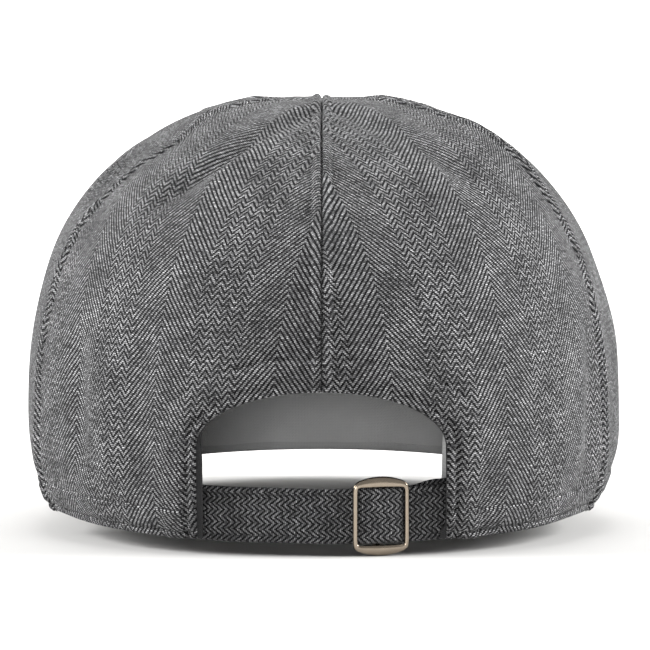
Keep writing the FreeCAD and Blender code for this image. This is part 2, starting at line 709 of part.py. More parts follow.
# ---------------------------------------------------------------- the buckle's loop
loop_low = (size["strap_width"] - size["loop_width"]) / 2
loop_high = loop_low + size["loop_width"]
low_text = "(Sizes.strap_width - Sizes.loop_width) / 2"
high_text = "(Sizes.strap_width + Sizes.loop_width) / 2"
tail = body("buckle_loop")
tail_profile = sketch(tail, "tail_profile", "XZ_Plane")
polygon(tail_profile, (((LOOP_INNER, loop_inner_text), (loop_low, low_text)),
                       ((LOOP_OUTER, loop_outer_text), (loop_low, low_text)),
                       ((LOOP_OUTER, loop_outer_text), (loop_high, high_text)),
                       ((LOOP_INNER, loop_inner_text), (loop_high, high_text))))
revolved(tail, "Revolution", "tail_band", tail_profile,
         "Sizes.loop_tail_angle - Sizes.buckle_angle")
eye = sketch(tail, "eye_outline", "XY_Plane", loop_low)
circle(eye, (BAR_PLACE, bar_place_text), (EYE_RADIUS, eye_outer_text))
padded(tail, "Pad", "eye", eye, "Sizes.loop_width")
eye_hole = sketch(tail, "eye_hole_outline", "XY_Plane")
circle(eye_hole, (BAR_PLACE, bar_place_text), (EYE_HOLE, eye_text))
padded(tail, "Pocket", "eye_hole", eye_hole, "2 * Sizes.strap_width", backwards=True)
part_name("buckle_loop", tail, about_rear(size["buckle_angle"]))

# ---------------------------------------------------------------- the slide buckle
FRAME_TEXT = f"{stack} + Sizes.buckle_rock_gap - ({bar_place_text})"
window_height = (WINDOW_HALF_HEIGHT, "Sizes.strap_width / 2 + Sizes.layer_gap")


def negative(pair):
    """The same dimension on the other side of the axis."""
    value, text = pair
    return (-value, f"-({text})")


buckle = body("slide_buckle")
frame = sketch(buckle, "frame_outline", "XZ_Plane", -FRAME_PLACE)
half_width = (size["buckle_half_width"], "Sizes.buckle_half_width")
corner_text = f"{window_height[1]} + Sizes.buckle_rail_width"
corner = (CORNER_HALF_HEIGHT, corner_text)
crest = (CORNER_HALF_HEIGHT + size["buckle_rail_rise"], f"{corner_text} + Sizes.buckle_rail_rise")
for sign in (1, -1):
    start = Vector(half_width[0], sign * corner[0], 0)
    finish = Vector(-half_width[0], sign * corner[0], 0)
    frame.addGeometry(Part.Arc(start, Vector(0, sign * crest[0], 0), finish), False)
for sign in (1, -1):
    frame.addGeometry(Part.LineSegment(Vector(sign * half_width[0], corner[0], 0),
                                       Vector(sign * half_width[0], -corner[0], 0)), False)
rail_radius = (half_width[0] ** 2 + size["buckle_rail_rise"] ** 2) / 2 / size["buckle_rail_rise"]
rail_text = ("(Sizes.buckle_half_width ^ 2 + Sizes.buckle_rail_rise ^ 2)"
             " / 2 / Sizes.buckle_rail_rise")
# The upper arc runs anticlockwise from the right, the lower one from the left.
for curve, end, line, line_end in ((0, 1, 2, 1), (0, 2, 3, 1), (1, 1, 3, 2), (1, 2, 2, 2)):
    frame.addConstraint(Sketcher.Constraint("Coincident", curve, end, line, line_end))
place(frame, 2, 1, half_width, corner)
place(frame, 2, 2, half_width, negative(corner))
place(frame, 3, 1, negative(half_width), corner)
place(frame, 3, 2, negative(half_width), negative(corner))
for curve in (0, 1):
    index = frame.addConstraint(Sketcher.Constraint("Radius", curve, rail_radius))
    frame.setExpression(f"Constraints[{index}]", rail_text)
window = (size["buckle_half_width"] - size["buckle_bar_width"],
          "Sizes.buckle_half_width - Sizes.buckle_bar_width")
polygon(frame, ((window, window_height), (window, negative(window_height)),
                (negative(window), negative(window_height)),
                (negative(window), window_height)))
padded(buckle, "Pad", "frame", frame, "Sizes.buckle_thickness", backwards=True)

lugs = sketch(buckle, "lug_outline", "YZ_Plane")
lug_in = (-size["centre_bar_radius"], "-Sizes.centre_bar_radius")
lug_out = (FRAME_PLACE + size["buckle_thickness"] / 2, f"{FRAME_TEXT} + Sizes.buckle_thickness / 2")
polygon(lugs, ((lug_in, window_height), (lug_out, window_height), (lug_out, corner),
               (lug_in, corner)))
polygon(lugs, ((lug_in, negative(window_height)), (lug_out, negative(window_height)),
               (lug_out, negative(corner)), (lug_in, negative(corner))))
padded(buckle, "Pad", "lugs", lugs, "Sizes.lug_width", middle=True)
bar = sketch(buckle, "bar_outline", "XY_Plane")
circle(bar, axis, (size["centre_bar_radius"], "Sizes.centre_bar_radius"))
padded(buckle, "Pad", "centre_bar", bar, f"2 * ({corner_text})", middle=True)
ON_BAR = Placement(Vector(BAR_PLACE, 0, size["strap_width"] / 2), Rotation(Z_AXIS, -90))
part_name("slide_buckle", buckle, about_rear(size["buckle_angle"]) * ON_BAR)

# ---------------------------------------------------------------- checks and files
doc.recompute()
for item in doc.Objects:
    if {"Invalid", "Error"} & set(item.State):
        raise RuntimeError(f"{item.Label} did not build: {item.State}")
for item in sub_parts:
    if item.Shape.isNull() or not item.Shape.isValid() or not item.Shape.Solids:
        raise RuntimeError(f"{item.Label} has no sound solid")

os.makedirs("parts", exist_ok=True)
for item in sub_parts:
    item.Shape.exportStep(f"parts/{item.Label}.step")
    print(f"{item.Label}: {item.Shape.Volume / 1000:.2f} cm3")
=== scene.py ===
"""Builds the looks of a six-panel tweed cap round its solid model, and its plain stage.

Shapes are worked out in millimetres in the cap's rim frame, where the rim lies flat round the
origin, and are tipped into the model's frame as the strap joint's axis says.
"""

import json
import logging
import math
from dataclasses import dataclass, field
from enum import Enum

import bmesh
import bpy
import numpy as np
from mathutils import Matrix, Vector


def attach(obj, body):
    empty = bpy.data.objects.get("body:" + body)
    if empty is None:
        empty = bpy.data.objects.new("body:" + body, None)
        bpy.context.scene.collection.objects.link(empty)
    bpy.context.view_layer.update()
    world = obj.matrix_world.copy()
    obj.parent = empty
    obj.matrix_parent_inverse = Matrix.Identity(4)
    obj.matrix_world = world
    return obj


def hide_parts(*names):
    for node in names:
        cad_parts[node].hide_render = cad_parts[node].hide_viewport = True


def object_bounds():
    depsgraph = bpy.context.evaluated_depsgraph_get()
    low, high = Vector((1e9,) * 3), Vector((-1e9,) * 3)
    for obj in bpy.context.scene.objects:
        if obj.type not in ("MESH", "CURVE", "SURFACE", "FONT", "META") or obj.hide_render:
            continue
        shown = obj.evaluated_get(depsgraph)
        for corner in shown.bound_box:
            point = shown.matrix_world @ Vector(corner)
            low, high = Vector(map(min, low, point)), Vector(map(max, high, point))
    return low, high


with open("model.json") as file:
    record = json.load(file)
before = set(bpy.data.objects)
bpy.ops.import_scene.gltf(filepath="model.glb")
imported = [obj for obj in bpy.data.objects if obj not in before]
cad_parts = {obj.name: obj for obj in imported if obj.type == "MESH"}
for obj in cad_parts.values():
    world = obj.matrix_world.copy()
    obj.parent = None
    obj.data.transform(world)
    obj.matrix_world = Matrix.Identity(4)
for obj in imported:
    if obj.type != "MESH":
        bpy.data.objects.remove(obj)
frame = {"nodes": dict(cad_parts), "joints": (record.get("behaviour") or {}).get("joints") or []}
CAD_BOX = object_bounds()
log = logging.getLogger("cap")

MM = 0.001
STRAP_AXIS = Vector(frame["joints"][0]["axis"])
TIP = Matrix.Rotation(-math.atan2(-STRAP_AXIS.y, -STRAP_AXIS.z), 4, "X")
RIM_TO_ROW = np.array(TIP.to_3x3())


def to_row(points: np.ndarray) -> np.ndarray:
    """Turns points in millimetres in the rim frame into metres in the model's frame.

    Args:
        points: Array whose last axis holds x, y and z.

    Returns:
        Array of the same shape.
    """
    return points @ RIM_TO_ROW.T * MM


def smooth_step(value: np.ndarray, low: float, high: float) -> np.ndarray:
    """Runs smoothly from 0 at low to 1 at high."""
    share = np.clip((value - low) / (high - low), 0.0, 1.0)
    return share * share * (3.0 - 2.0 * share)


def bump(distance: np.ndarray, width: float) -> np.ndarray:
    """Bell of height 1 at distance 0 that fades over width."""
    return np.exp(-((distance / width) ** 2))


# ------------------------------------------------------------------ form of the crown
@dataclass(frozen=True)
class CrownForm:
    """Outer form of the crown in millimetres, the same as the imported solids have."""

    half_width: float = 83.0
    half_length: float = 100.0
    rear_radius: float = 76.0
    front_radius: float = 70.0
    tuck: float = 5.0
    tuck_power: float = 2.4
    widest: float = 23.0
    height: float = 119.0
    lean: float = -10.0
    fullness: float = 2.5
    seat: float = 1.0
    seat_radii: tuple[float, float] = (9.5, 23.0)
    last_turn: float = 89.3

    @property
    def rear_centre(self) -> float:
        """Place along Y of the rear arc's centre."""
        return self.half_length - self.rear_radius

    @property
    def front_centre(self) -> float:
        """Place along Y of the front arc's centre."""
        return self.front_radius - self.half_length

    def side_arc(self, half_width: float, rear_radius: float,
                 front_radius: float) -> tuple[float, float]:
        """Finds the side arc that touches both end arcs of an oval.

        Args:
            half_width: Half width of the oval.
            rear_radius: Radius of its rear arc.
            front_radius: Radius of its front arc.

        Returns:
            How far the arc's centre lies past the Y axis, and its place along Y.
        """
        rear_step = half_width - rear_radius
        front_step = half_width - front_radius
        low, high = 0.0, 10.0 * half_width
        for _ in range(60):
            bow = (low + high) / 2
            span = math.sqrt(rear_step * (2 * bow + rear_step))
            span += math.sqrt(front_step * (2 * bow + front_step))
            low, high = (bow, high) if span < self.rear_centre - self.front_centre else (low, bow)
        return bow, self.rear_centre - math.sqrt(rear_step * (2 * bow + rear_step))

    def polar(self, turn: np.ndarray, half_width: np.ndarray, rear_radius: np.ndarray,
              front_radius: np.ndarray, origin_y: np.ndarray) -> np.ndarray:
        """Distance from a point on the Y axis to an oval.

        Args:
            turn: Angle from +Y towards +X, in radians.
            half_width: Half width of the oval at each point.
            rear_radius: Radius of its rear arc at each point.
            front_radius: Radius of its front arc at each point.
            origin_y: Place of the origin along Y at each point.

        Returns:
            The distances.
        """
        bow, side_y = self.side_arc(self.half_width, self.rear_radius, self.front_radius)
        rear_turn = math.atan2(self.rear_centre - side_y, bow)
        front_turn = math.atan2(self.front_centre - side_y, bow)
        across, along = np.abs(np.sin(turn)), np.cos(turn)

        def reach(centre_x: float, centre_y: float, radius: np.ndarray) -> np.ndarray:
            to_x, to_y = centre_x, centre_y - origin_y
            toward = across * to_x + along * to_y
            return toward + np.sqrt(radius ** 2 - to_x ** 2 - to_y ** 2 + toward ** 2)

        rear = reach(0.0, self.rear_centre, rear_radius)
        nose = reach(0.0, self.front_centre, front_radius)
        side = reach(-bow, side_y, half_width + bow)
        at_rear = np.arctan2(origin_y + rear * along - self.rear_centre, rear * across)
        at_nose = np.arctan2(origin_y + nose * along - self.front_centre, nose * across)
        return np.where(at_rear >= rear_turn, rear, np.where(at_nose <= front_turn, nose, side))

    def level(self, share: np.ndarray) -> tuple[np.ndarray, ...]:
        """Profile of the crown.

        Args:
            share: -1 at the rim, 0 at the widest level and 1 at the apex.

        Returns:
            Height, growth over the rim's oval, scale and shift along Y.
        """
        low = np.clip(share + 1.0, 0.0, 1.0)
        turn = np.radians(np.clip(share, 0.0, 1.0) * self.last_turn)
        grow = self.tuck * (1.0 - (1.0 - low) ** self.tuck_power)
        power = 2.0 / self.fullness
        scale = np.cos(turn) ** power
        rise = np.sin(turn) ** power
        radius = (self.half_width + self.tuck) * scale
        inner, outer = self.seat_radii
        seat = self.seat * (1.0 - smooth_step(radius, inner, outer))
        height = self.widest * low + (self.height - self.widest) * rise - seat
        return height, grow, scale, self.lean * rise ** 2

    def point(self, turn: np.ndarray, share: np.ndarray) -> np.ndarray:
        """Places points on the crown.

        Args:
            turn: Angle about the apex from +Y towards +X, in degrees.
            share: Level as level() takes it.

        Returns:
            Points in millimetres in the rim frame.
        """
        angle = np.radians(turn)
        height, grow, scale, shift = self.level(share)
        origin = (self.lean - shift) / scale
        radius = scale * self.polar(angle, self.half_width + grow, self.rear_radius + grow,
                                    self.front_radius + grow, origin)
        return np.stack([radius * np.sin(angle), self.lean + radius * np.cos(angle), height],
                        axis=-1)

    def normal(self, turn: np.ndarray, share: np.ndarray) -> np.ndarray:
        """Outward unit normals at points given as point() takes them."""
        step_turn, step_share = 0.2, 0.002
        around = self.point(turn + step_turn, share) - self.point(turn - step_turn, share)
        low = np.clip(share - step_share, -1.0, 1.0)
        high = np.clip(share + step_share, -1.0, 1.0)
        upward = self.point(turn, high) - self.point(turn, low)
        normal = np.cross(upward, around)
        return normal / np.linalg.norm(normal, axis=-1, keepdims=True)

    def share_at(self, height: np.ndarray) -> np.ndarray:
        """Level whose height, below the seat, is the one given."""
        height = np.asarray(height, float)
        rise = np.clip((height - self.widest) / (self.height - self.widest), 0.0, 1.0)
        turn = np.degrees(np.arcsin(rise ** (self.fullness / 2.0)))
        return np.where(height < self.widest, height / self.widest - 1.0, turn / self.last_turn)

    def turn_at(self, across: np.ndarray, share: np.ndarray) -> np.ndarray:
        """Angle at which a level of the crown's rear reaches a distance from the YZ plane."""
        low = np.zeros(np.broadcast(across, share).shape)
        high = low + 80.0
        for _ in range(40):
            middle = (low + high) / 2
            inside = self.point(middle, share)[..., 0] < across
            low = np.where(inside, middle, low)
            high = np.where(inside, high, middle)
        return (low + high) / 2


@dataclass(frozen=True)
class RearArch:
    """Outline of the rear opening, in millimetres."""

    half_width: float = 35.0
    spring: float = 27.0
    rise: float = 15.8

    def distance(self, points: np.ndarray) -> np.ndarray:
        """Distance outside the opening's edge, far away for points off the rear."""
        across = np.abs(points[..., 0])
        height = points[..., 2] - self.spring
        norm = np.sqrt((across / self.half_width) ** 2 + (height / self.rise) ** 2)
        slope = np.sqrt((across / self.half_width ** 2) ** 2 + (height / self.rise ** 2) ** 2)
        over_arch = (norm - 1.0) * norm / np.maximum(slope, 1e-6)
        distance = np.where(height > 0.0, over_arch, across - self.half_width)
        return np.where(points[..., 1] > 0.0, distance, 1e3)

    def outline(self, form: CrownForm, grow: float, count: int) -> tuple[np.ndarray, np.ndarray]:
        """Follows the opening's edge from the rim on one side to the rim on the other.

        Args:
            form: The crown that the opening is cut in.
            grow: Distance outside the edge.
            count: Number of points over the arch.

        Returns:
            Turns and levels of the points.
        """
        angle = np.radians(np.linspace(90.0, -90.0, count))
        across = (self.half_width + grow) * np.sin(angle)
        height = self.spring + (self.rise + grow) * np.cos(angle)
        upright = np.linspace(0.0, self.spring, count // 3, endpoint=False)
        side = np.full(upright.shape, self.half_width + grow)
        across = np.concatenate([side, across, -side])
        height = np.concatenate([upright, height, upright[::-1]])
        share = form.share_at(height)
        return np.sign(across) * form.turn_at(np.abs(across), share), share


@dataclass(frozen=True)
class VisorForm:
    """Bend and outline of the visor, in millimetres."""

    end: float = -38.0
    bend_radius: float = 170.0
    slope: float = 5.0
    half_width: float = 86.0
    widest: float = -66.0
    front: float = -168.0
    cloth: float = 1.0
    board: float = 2.0

    def end_width(self, form: CrownForm) -> float:
        """Half width of the rim where the visor's ends meet it."""
        bow, side_y = form.side_arc(form.half_width, form.rear_radius, form.front_radius)
        return math.sqrt((form.half_width + bow) ** 2 - (self.end - side_y) ** 2) - bow

    def height(self, form: CrownForm, x: np.ndarray, y: np.ndarray, depth: float) -> np.ndarray:
        """Height of the visor's bend.

        Args:
            form: The crown that the visor is sewn to.
            x: Places along X.
            y: Places along Y.
            depth: How far below the visor's upper face.

        Returns:
            Heights in the rim frame.
        """
        bow = self.bend_radius - math.sqrt(self.bend_radius ** 2 - self.end_width(form) ** 2)
        radius = self.bend_radius - depth
        slope = math.radians(self.slope)
        local = bow - self.bend_radius + np.sqrt(radius ** 2 - np.asarray(x) ** 2)
        return local / math.cos(slope) + (np.asarray(y) - self.end) * math.tan(slope)

    def edge(self, form: CrownForm, count: int) -> np.ndarray:
        """Plan of the visor's outer edge from its left end round the front to the right one.

        Args:
            form: The crown that the visor is sewn to.
            count: Number of points.

        Returns:
            Points as an array of x and y.
        """
        step = self.half_width - self.end_width(form)
        drop = self.end - self.widest
        corner = (step ** 2 + drop ** 2) / (2.0 * step)
        share = np.linspace(0.0, 1.0, count // 6, endpoint=False)
        turn = math.asin(drop / corner) * (1.0 - share)
        side_x = self.half_width - corner + corner * np.cos(turn)
        side_y = self.widest + corner * np.sin(turn)
        sweep = np.linspace(0.0, math.pi, count)
        front_x = self.half_width * np.cos(sweep)
        front_y = self.widest + (self.front - self.widest) * np.sin(sweep)
        x = np.concatenate([side_x, front_x, -side_x[::-1]])
        y = np.concatenate([side_y, front_y, side_y[::-1]])
        return np.stack([x, y], axis=-1)


FORM = CrownForm()
ARCH = RearArch()
VISOR = VisorForm()


# ------------------------------------------------------------------ cloth of the crown
SEAM_TURNS = (0.0, 60.0, 120.0, 180.0)
CLOTH = 1.2
LINING_DEPTH = 1.25


def waves(along: np.ndarray, length: float, seed: int) -> np.ndarray:
    """Uneven ripple between about -1 and 1.

    Args:
        along: Distance along the ripple.
        length: Usual distance between crests.
        seed: Chooses the ripple.

    Returns:
        The ripple at each distance.
    """
    rng = np.random.default_rng(seed)
    total = np.zeros(np.shape(along))
    for stretch in (0.62, 1.0, 1.57, 2.3):
        total += np.sin(2 * math.pi * along / (length * stretch) + rng.uniform(0, 2 * math.pi))
    return total / 2.6


@dataclass(frozen=True)
class Fold:
    """A soft ridge or valley along a path, in millimetres."""

    path: tuple[tuple[float, float], ...]
    rise: float
    width: float
    fade: float = 0.25

    def relief(self, form: CrownForm, points: np.ndarray) -> np.ndarray:
        """Rise of the fold at each point.

        Args:
            form: The crown that the path, as turns and heights, lies on.
            points: Points on the crown.

        Returns:
            How far the cloth stands out.
        """
        turns, heights = np.array(self.path).T
        steps = np.linspace(0, len(turns) - 1, 40)
        knots = np.arange(len(turns))
        turn = np.interp(steps, knots, turns)
        height = np.interp(steps, knots, heights)
        line = form.point(turn, form.share_at(height))
        flat = points.reshape(-1, 1, 3)
        gap = np.linalg.norm(flat - line[None], axis=-1)
        nearest = gap.argmin(axis=1)
        share = nearest / (len(steps) - 1)
        ends = smooth_step(share, 0.0, self.fade) * (1 - smooth_step(share, 1 - self.fade, 1.0))
        return (self.rise * ends * bump(gap.min(axis=1), self.width)).reshape(points.shape[:-1])


FOLDS = (
    Fold(((5.0, 117.5), (8.6, 115.7), (18.5, 110.0), (26.2, 102.5), (33.5, 94.1), (37.0, 86.0)),
         -3.2, 4.6),
    Fold(((6.0, 117.6), (9.5, 116.3), (16.4, 109.2), (20.7, 100.0), (25.4, 88.0)), 1.3, 4.0),
    Fold(((-6.0, 117.5), (-10.3, 116.3), (-23.2, 110.6), (-30.9, 102.5), (-36.0, 92.0)),
         -1.7, 5.5),
    Fold(((44.5, 60.0), (42.4, 36.3), (41.4, 8.0)), -1.7, 5.5),
    Fold(((28.0, 64.0), (27.5, 38.7), (26.6, 10.0)), -1.3, 5.0),
    Fold(((35.0, 52.0), (34.4, 32.0), (34.0, 10.0)), 0.9, 5.0),
    Fold(((-55.7, 60.0), (-53.0, 33.8), (-51.5, 8.0)), -1.8, 5.5),
    Fold(((-24.0, 44.0), (-23.0, 31.0), (-22.0, 18.0)), 1.0, 5.0),
    Fold(((48.0, 114.5), (68.0, 106.0), (80.0, 92.0)), -3.8, 22.0, 0.3),
    Fold(((58.0, 2.0), (78.0, 0.0), (92.0, 0.0), (110.0, 6.0)), -3.0, 15.0, 0.35),
    Fold(((-46.0, 113.0), (-60.0, 106.0), (-74.0, 94.0)), 1.7, 18.0, 0.35),
    Fold(((-74.0, 66.0), (-86.0, 45.0), (-89.0, 20.0), (-86.0, 2.0)), 1.5, 24.0, 0.3),
)


@dataclass(frozen=True)
class CrownCloth:
    """The crown's cloth: its form with folds, seams, hems and sewn puckers."""

    form: CrownForm = FORM
    arch: RearArch = ARCH
    folds: tuple[Fold, ...] = FOLDS
    topstitch: float = 2.9
    hem_rows: tuple[float, float] = (2.2, 9.0)
    edge_roll: float = 0.9
    stitch_pitch: float = 2.8
    seam_step: tuple[float, float, float] = (0.45, 2.4, 4.0)
    seam_ridge: tuple[float, float, float] = (0.40, 1.45, 0.8)
    seam_groove: tuple[float, float] = (0.9, 0.32)
    seam_stitch: tuple[float, float] = (0.55, 0.55)
    hem_stitch: tuple[float, float] = (0.75, 0.5)
    apex_fade: tuple[float, float] = (9.0, 24.0)

    def stitch_pull(self, along: np.ndarray) -> np.ndarray:
        """How hard the stitches pull the cloth in along their row."""
        return 0.7 + 0.3 * np.cos(2 * math.pi * along / self.stitch_pitch)

    def soft_relief(self, turn: np.ndarray, points: np.ndarray) -> np.ndarray:
        """Folds and lumps that all layers of the crown share."""
        around, height = np.radians(turn), points[..., 2]
        lumps = waves(around * 80.0 + height * 0.35, 46.0, 3) + waves(height, 52.0, 5)
        total = 0.22 * lumps
        for fold in self.folds:
            total = total + fold.relief(self.form, points)
        return total * smooth_step(height, -30.0, 14.0)

    def seam_relief(self, turn: np.ndarray, points: np.ndarray) -> np.ndarray:
        """Grooves of the seams, and the ridges and stitch dips on both sides of them."""
        radius = np.hypot(points[..., 0], points[..., 1] - self.form.lean)
        total = np.zeros(turn.shape)
        along = points[..., 2] * 0.8 - radius * 0.6
        (step, flat, end), (ridge, crest, spread) = self.seam_step, self.seam_ridge
        dip, wide = self.seam_stitch
        for index, seam in enumerate(SEAM_TURNS):
            offset = np.radians(np.abs(turn) - seam)
            gap = np.where(np.cos(offset) > 0, radius * np.abs(np.sin(offset)), 1e3)
            total += step * (1 - smooth_step(gap, flat, end))
            total += ridge * bump(gap - crest, spread)
            total -= self.seam_groove[0] * bump(gap, self.seam_groove[1])
            total -= dip * self.stitch_pull(along) * bump(gap - self.topstitch, wide)
            pucker = waves(along + 40.0 * np.sign(turn), 9.0, 11 + index)
            total += 0.22 * pucker * bump(gap - 5.0, 4.0)
        return total * smooth_step(radius, *self.apex_fade)

    def hem_relief(self, gap: np.ndarray, along: np.ndarray) -> np.ndarray:
        """Rolled edge, stitch dips and soft swell of a turned hem.

        Args:
            gap: Distance from the edge.
            along: Distance along the edge.

        Returns:
            How far the cloth stands out.
        """
        near, far = self.hem_rows
        inside = np.clip(1.0 - gap / self.edge_roll, 0.0, 1.0)
        total = -self.edge_roll * (1.0 - np.sqrt(1.0 - inside ** 2))
        dip, wide = self.hem_stitch
        for row in (near, far):
            total -= dip * self.stitch_pull(along) * bump(gap - row, wide)
        total += 0.45 * smooth_step(gap, near, near + 2) * (1 - smooth_step(gap, far - 1, far + 1))
        total += 0.2 * waves(along, 10.0, 21) * bump(gap - 5.5, 2.8)
        return total + 0.22 * waves(along, 13.0, 23) * bump(gap - 13.0, 5.0)

    def place(self, turn: np.ndarray, share: np.ndarray, depth: float = 0.0,
              fine: bool = True) -> np.ndarray:
        """Places points on the cloth.

        Args:
            turn: Signed angle about the apex, in degrees.
            share: Level as CrownForm.level takes it.
            depth: Distance under the cloth's outer face.
            fine: Whether seams and hems show.

        Returns:
            Points in millimetres in the rim frame.
        """
        turn, share = np.broadcast_arrays(np.asarray(turn, float), np.asarray(share, float))
        points = self.form.point(turn, share)
        rise = self.soft_relief(turn, points) - depth
        if fine:
            rise = rise + self.seam_relief(turn, points)
            arc = np.radians(turn) * 85.0
            rise = rise + self.hem_relief(points[..., 2], arc)
            rise = rise + self.hem_relief(self.arch.distance(points), arc * 0.6 + points[..., 2])
        return points + self.form.normal(turn, share) * rise[..., None]


CROWN = CrownCloth()


# ------------------------------------------------------------------ meshes
def grid_faces(rows: int, columns: int, first: int = 0, wrap: bool = False) -> np.ndarray:
    """Quads of a grid of points stored row by row.

    Args:
        rows: Number of rows.
        columns: Number of columns.
        first: Index of the first point.
        wrap: Whether the last column joins the first.

    Returns:
        Array of four indices a face, which face along (next row) x (next column).
    """
    row = np.arange(rows - 1)[:, None] * columns
    column = np.arange(columns if wrap else columns - 1)[None]
    after = (column + 1) % columns
    faces = np.stack([row + column, row + columns + column, row + columns + after, row + after],
                     axis=-1)
    return faces.reshape(-1, 4) + first


@dataclass
class Draft:
    """A mesh in the making, in millimetres in the rim frame, with UVs in metres."""

    points: np.ndarray
    faces: np.ndarray
    uv: np.ndarray
    caps: list[list[int]] = field(default_factory=list)

    def flipped(self) -> "Draft":
        """The same mesh facing the other way."""
        return Draft(self.points, self.faces[:, ::-1], self.uv, [c[::-1] for c in self.caps])

    def joined(self, other: "Draft") -> "Draft":
        """One mesh of both."""
        first = len(self.points)
        caps = self.caps + [[index + first for index in cap] for cap in other.caps]
        return Draft(np.concatenate([self.points, other.points]),
                     np.concatenate([self.faces, other.faces + first]),
                     np.concatenate([self.uv, other.uv]), caps)

    def shelled(self, inner: np.ndarray) -> "Draft":
        """Closed shell between the faces and a second layer of points.

        Args:
            inner: Where each point lies on the second layer.

        Returns:
            The closed mesh.
        """
        count = len(self.points)
        edges = np.concatenate([self.faces[:, [i, (i + 1) % 4]] for i in range(4)])
        key = np.sort(edges, axis=1)
        _, index, uses = np.unique(key, axis=0, return_index=True, return_counts=True)
        rim = edges[index[uses == 1]]
        walls = np.stack([rim[:, 1], rim[:, 0], rim[:, 0] + count, rim[:, 1] + count], axis=1)
        faces = np.concatenate([self.faces, self.faces[:, ::-1] + count, walls])
        return Draft(np.concatenate([self.points, inner]), faces,
                     np.concatenate([self.uv, self.uv]))

    def piece(self, name: str, material: bpy.types.Material, smooth: float = 50.0
              ) -> bpy.types.Object:
        """Makes the Blender object.

        Args:
            name: Name of the piece.
            material: Its material.
            smooth: Edges that turn by less than this many degrees are shaded smooth.

        Returns:
            The object, at the origin.
        """
        mesh = bpy.data.meshes.new(name)
        faces = self.faces.tolist() + self.caps
        mesh.from_pydata(to_row(self.points).tolist(), [], faces)
        layer = mesh.uv_layers.new(name="weave")
        corner = np.empty(len(mesh.loops), dtype=np.int32)
        mesh.loops.foreach_get("vertex_index", corner)
        layer.data.foreach_set("uv", self.uv[corner].astype(np.float32).ravel())
        mesh.validate()
        piece = bpy.data.objects.new(name, mesh)
        bpy.context.collection.objects.link(piece)
        mesh.materials.append(material)
        mesh.shade_smooth()
        mesh.set_sharp_from_angle(angle=math.radians(smooth))
        return piece


def swept(centres: np.ndarray, outs: np.ndarray, ups: np.ndarray, section: np.ndarray) -> Draft:
    """Closed tube with a shaped section along a path.

    Args:
        centres: Points of the path.
        outs: Direction of the section's first coordinate at each point.
        ups: Direction of its second coordinate.
        section: Loop of points, the same all along or one loop for each point.

    Returns:
        The mesh, with UVs of distance round the section and along the path.
    """
    if section.ndim == 2:
        section = np.broadcast_to(section, (len(centres),) + section.shape)
    points = (centres[:, None] + outs[:, None] * section[..., :1] + ups[:, None] * section[..., 1:])
    rows, columns = points.shape[:2]
    steps = np.linalg.norm(np.diff(centres, axis=0), axis=1)
    along = np.concatenate([[0.0], np.cumsum(steps)])
    uv = np.stack([section[..., 1], np.broadcast_to(along[:, None], (rows, columns))], axis=-1)
    caps = [list(range(columns)), list(range((rows - 1) * columns, rows * columns))[::-1]]
    return Draft(points.reshape(-1, 3), grid_faces(rows, columns, wrap=True),
                 uv.reshape(-1, 2) * MM, caps)


def tube(rings: np.ndarray, inward: bool = False) -> Draft:
    """Builds a closed tube through rings of points.

    Args:
        rings: Array of rings by points by x, y and z.
        inward: Whether the rings run the other way round.

    Returns:
        The tube with flat ends.
    """
    count, sides = rings.shape[:2]
    faces, points = grid_faces(count, sides, wrap=True), rings.reshape(-1, 3)
    ends = [list(range(sides)), list(range((count - 1) * sides, count * sides))[::-1]]
    return Draft(points, faces[:, ::-1] if inward else faces, points[:, :2] * MM, ends)


def band_section(thickness: float, width: float, side: int = 14, corner: int = 7) -> np.ndarray:
    """Loop of a flat band's section with round edges.

    Args:
        thickness: Size along the first coordinate.
        width: Size along the second one.
        side: Number of points on each flat face.
        corner: Number of points on each round edge.

    Returns:
        Points, anticlockwise with the first coordinate to the right.
    """
    radius = thickness / 2
    face = np.linspace(radius - width / 2, width / 2 - radius, side)
    turn = np.radians(np.linspace(0, 180, corner + 2)[1:-1])
    right = np.stack([np.full(side, radius), face], axis=-1)
    top = np.stack([radius * np.cos(turn), width / 2 - radius + radius * np.sin(turn)], axis=-1)
    half = np.concatenate([right, top])
    return np.concatenate([half, -half])


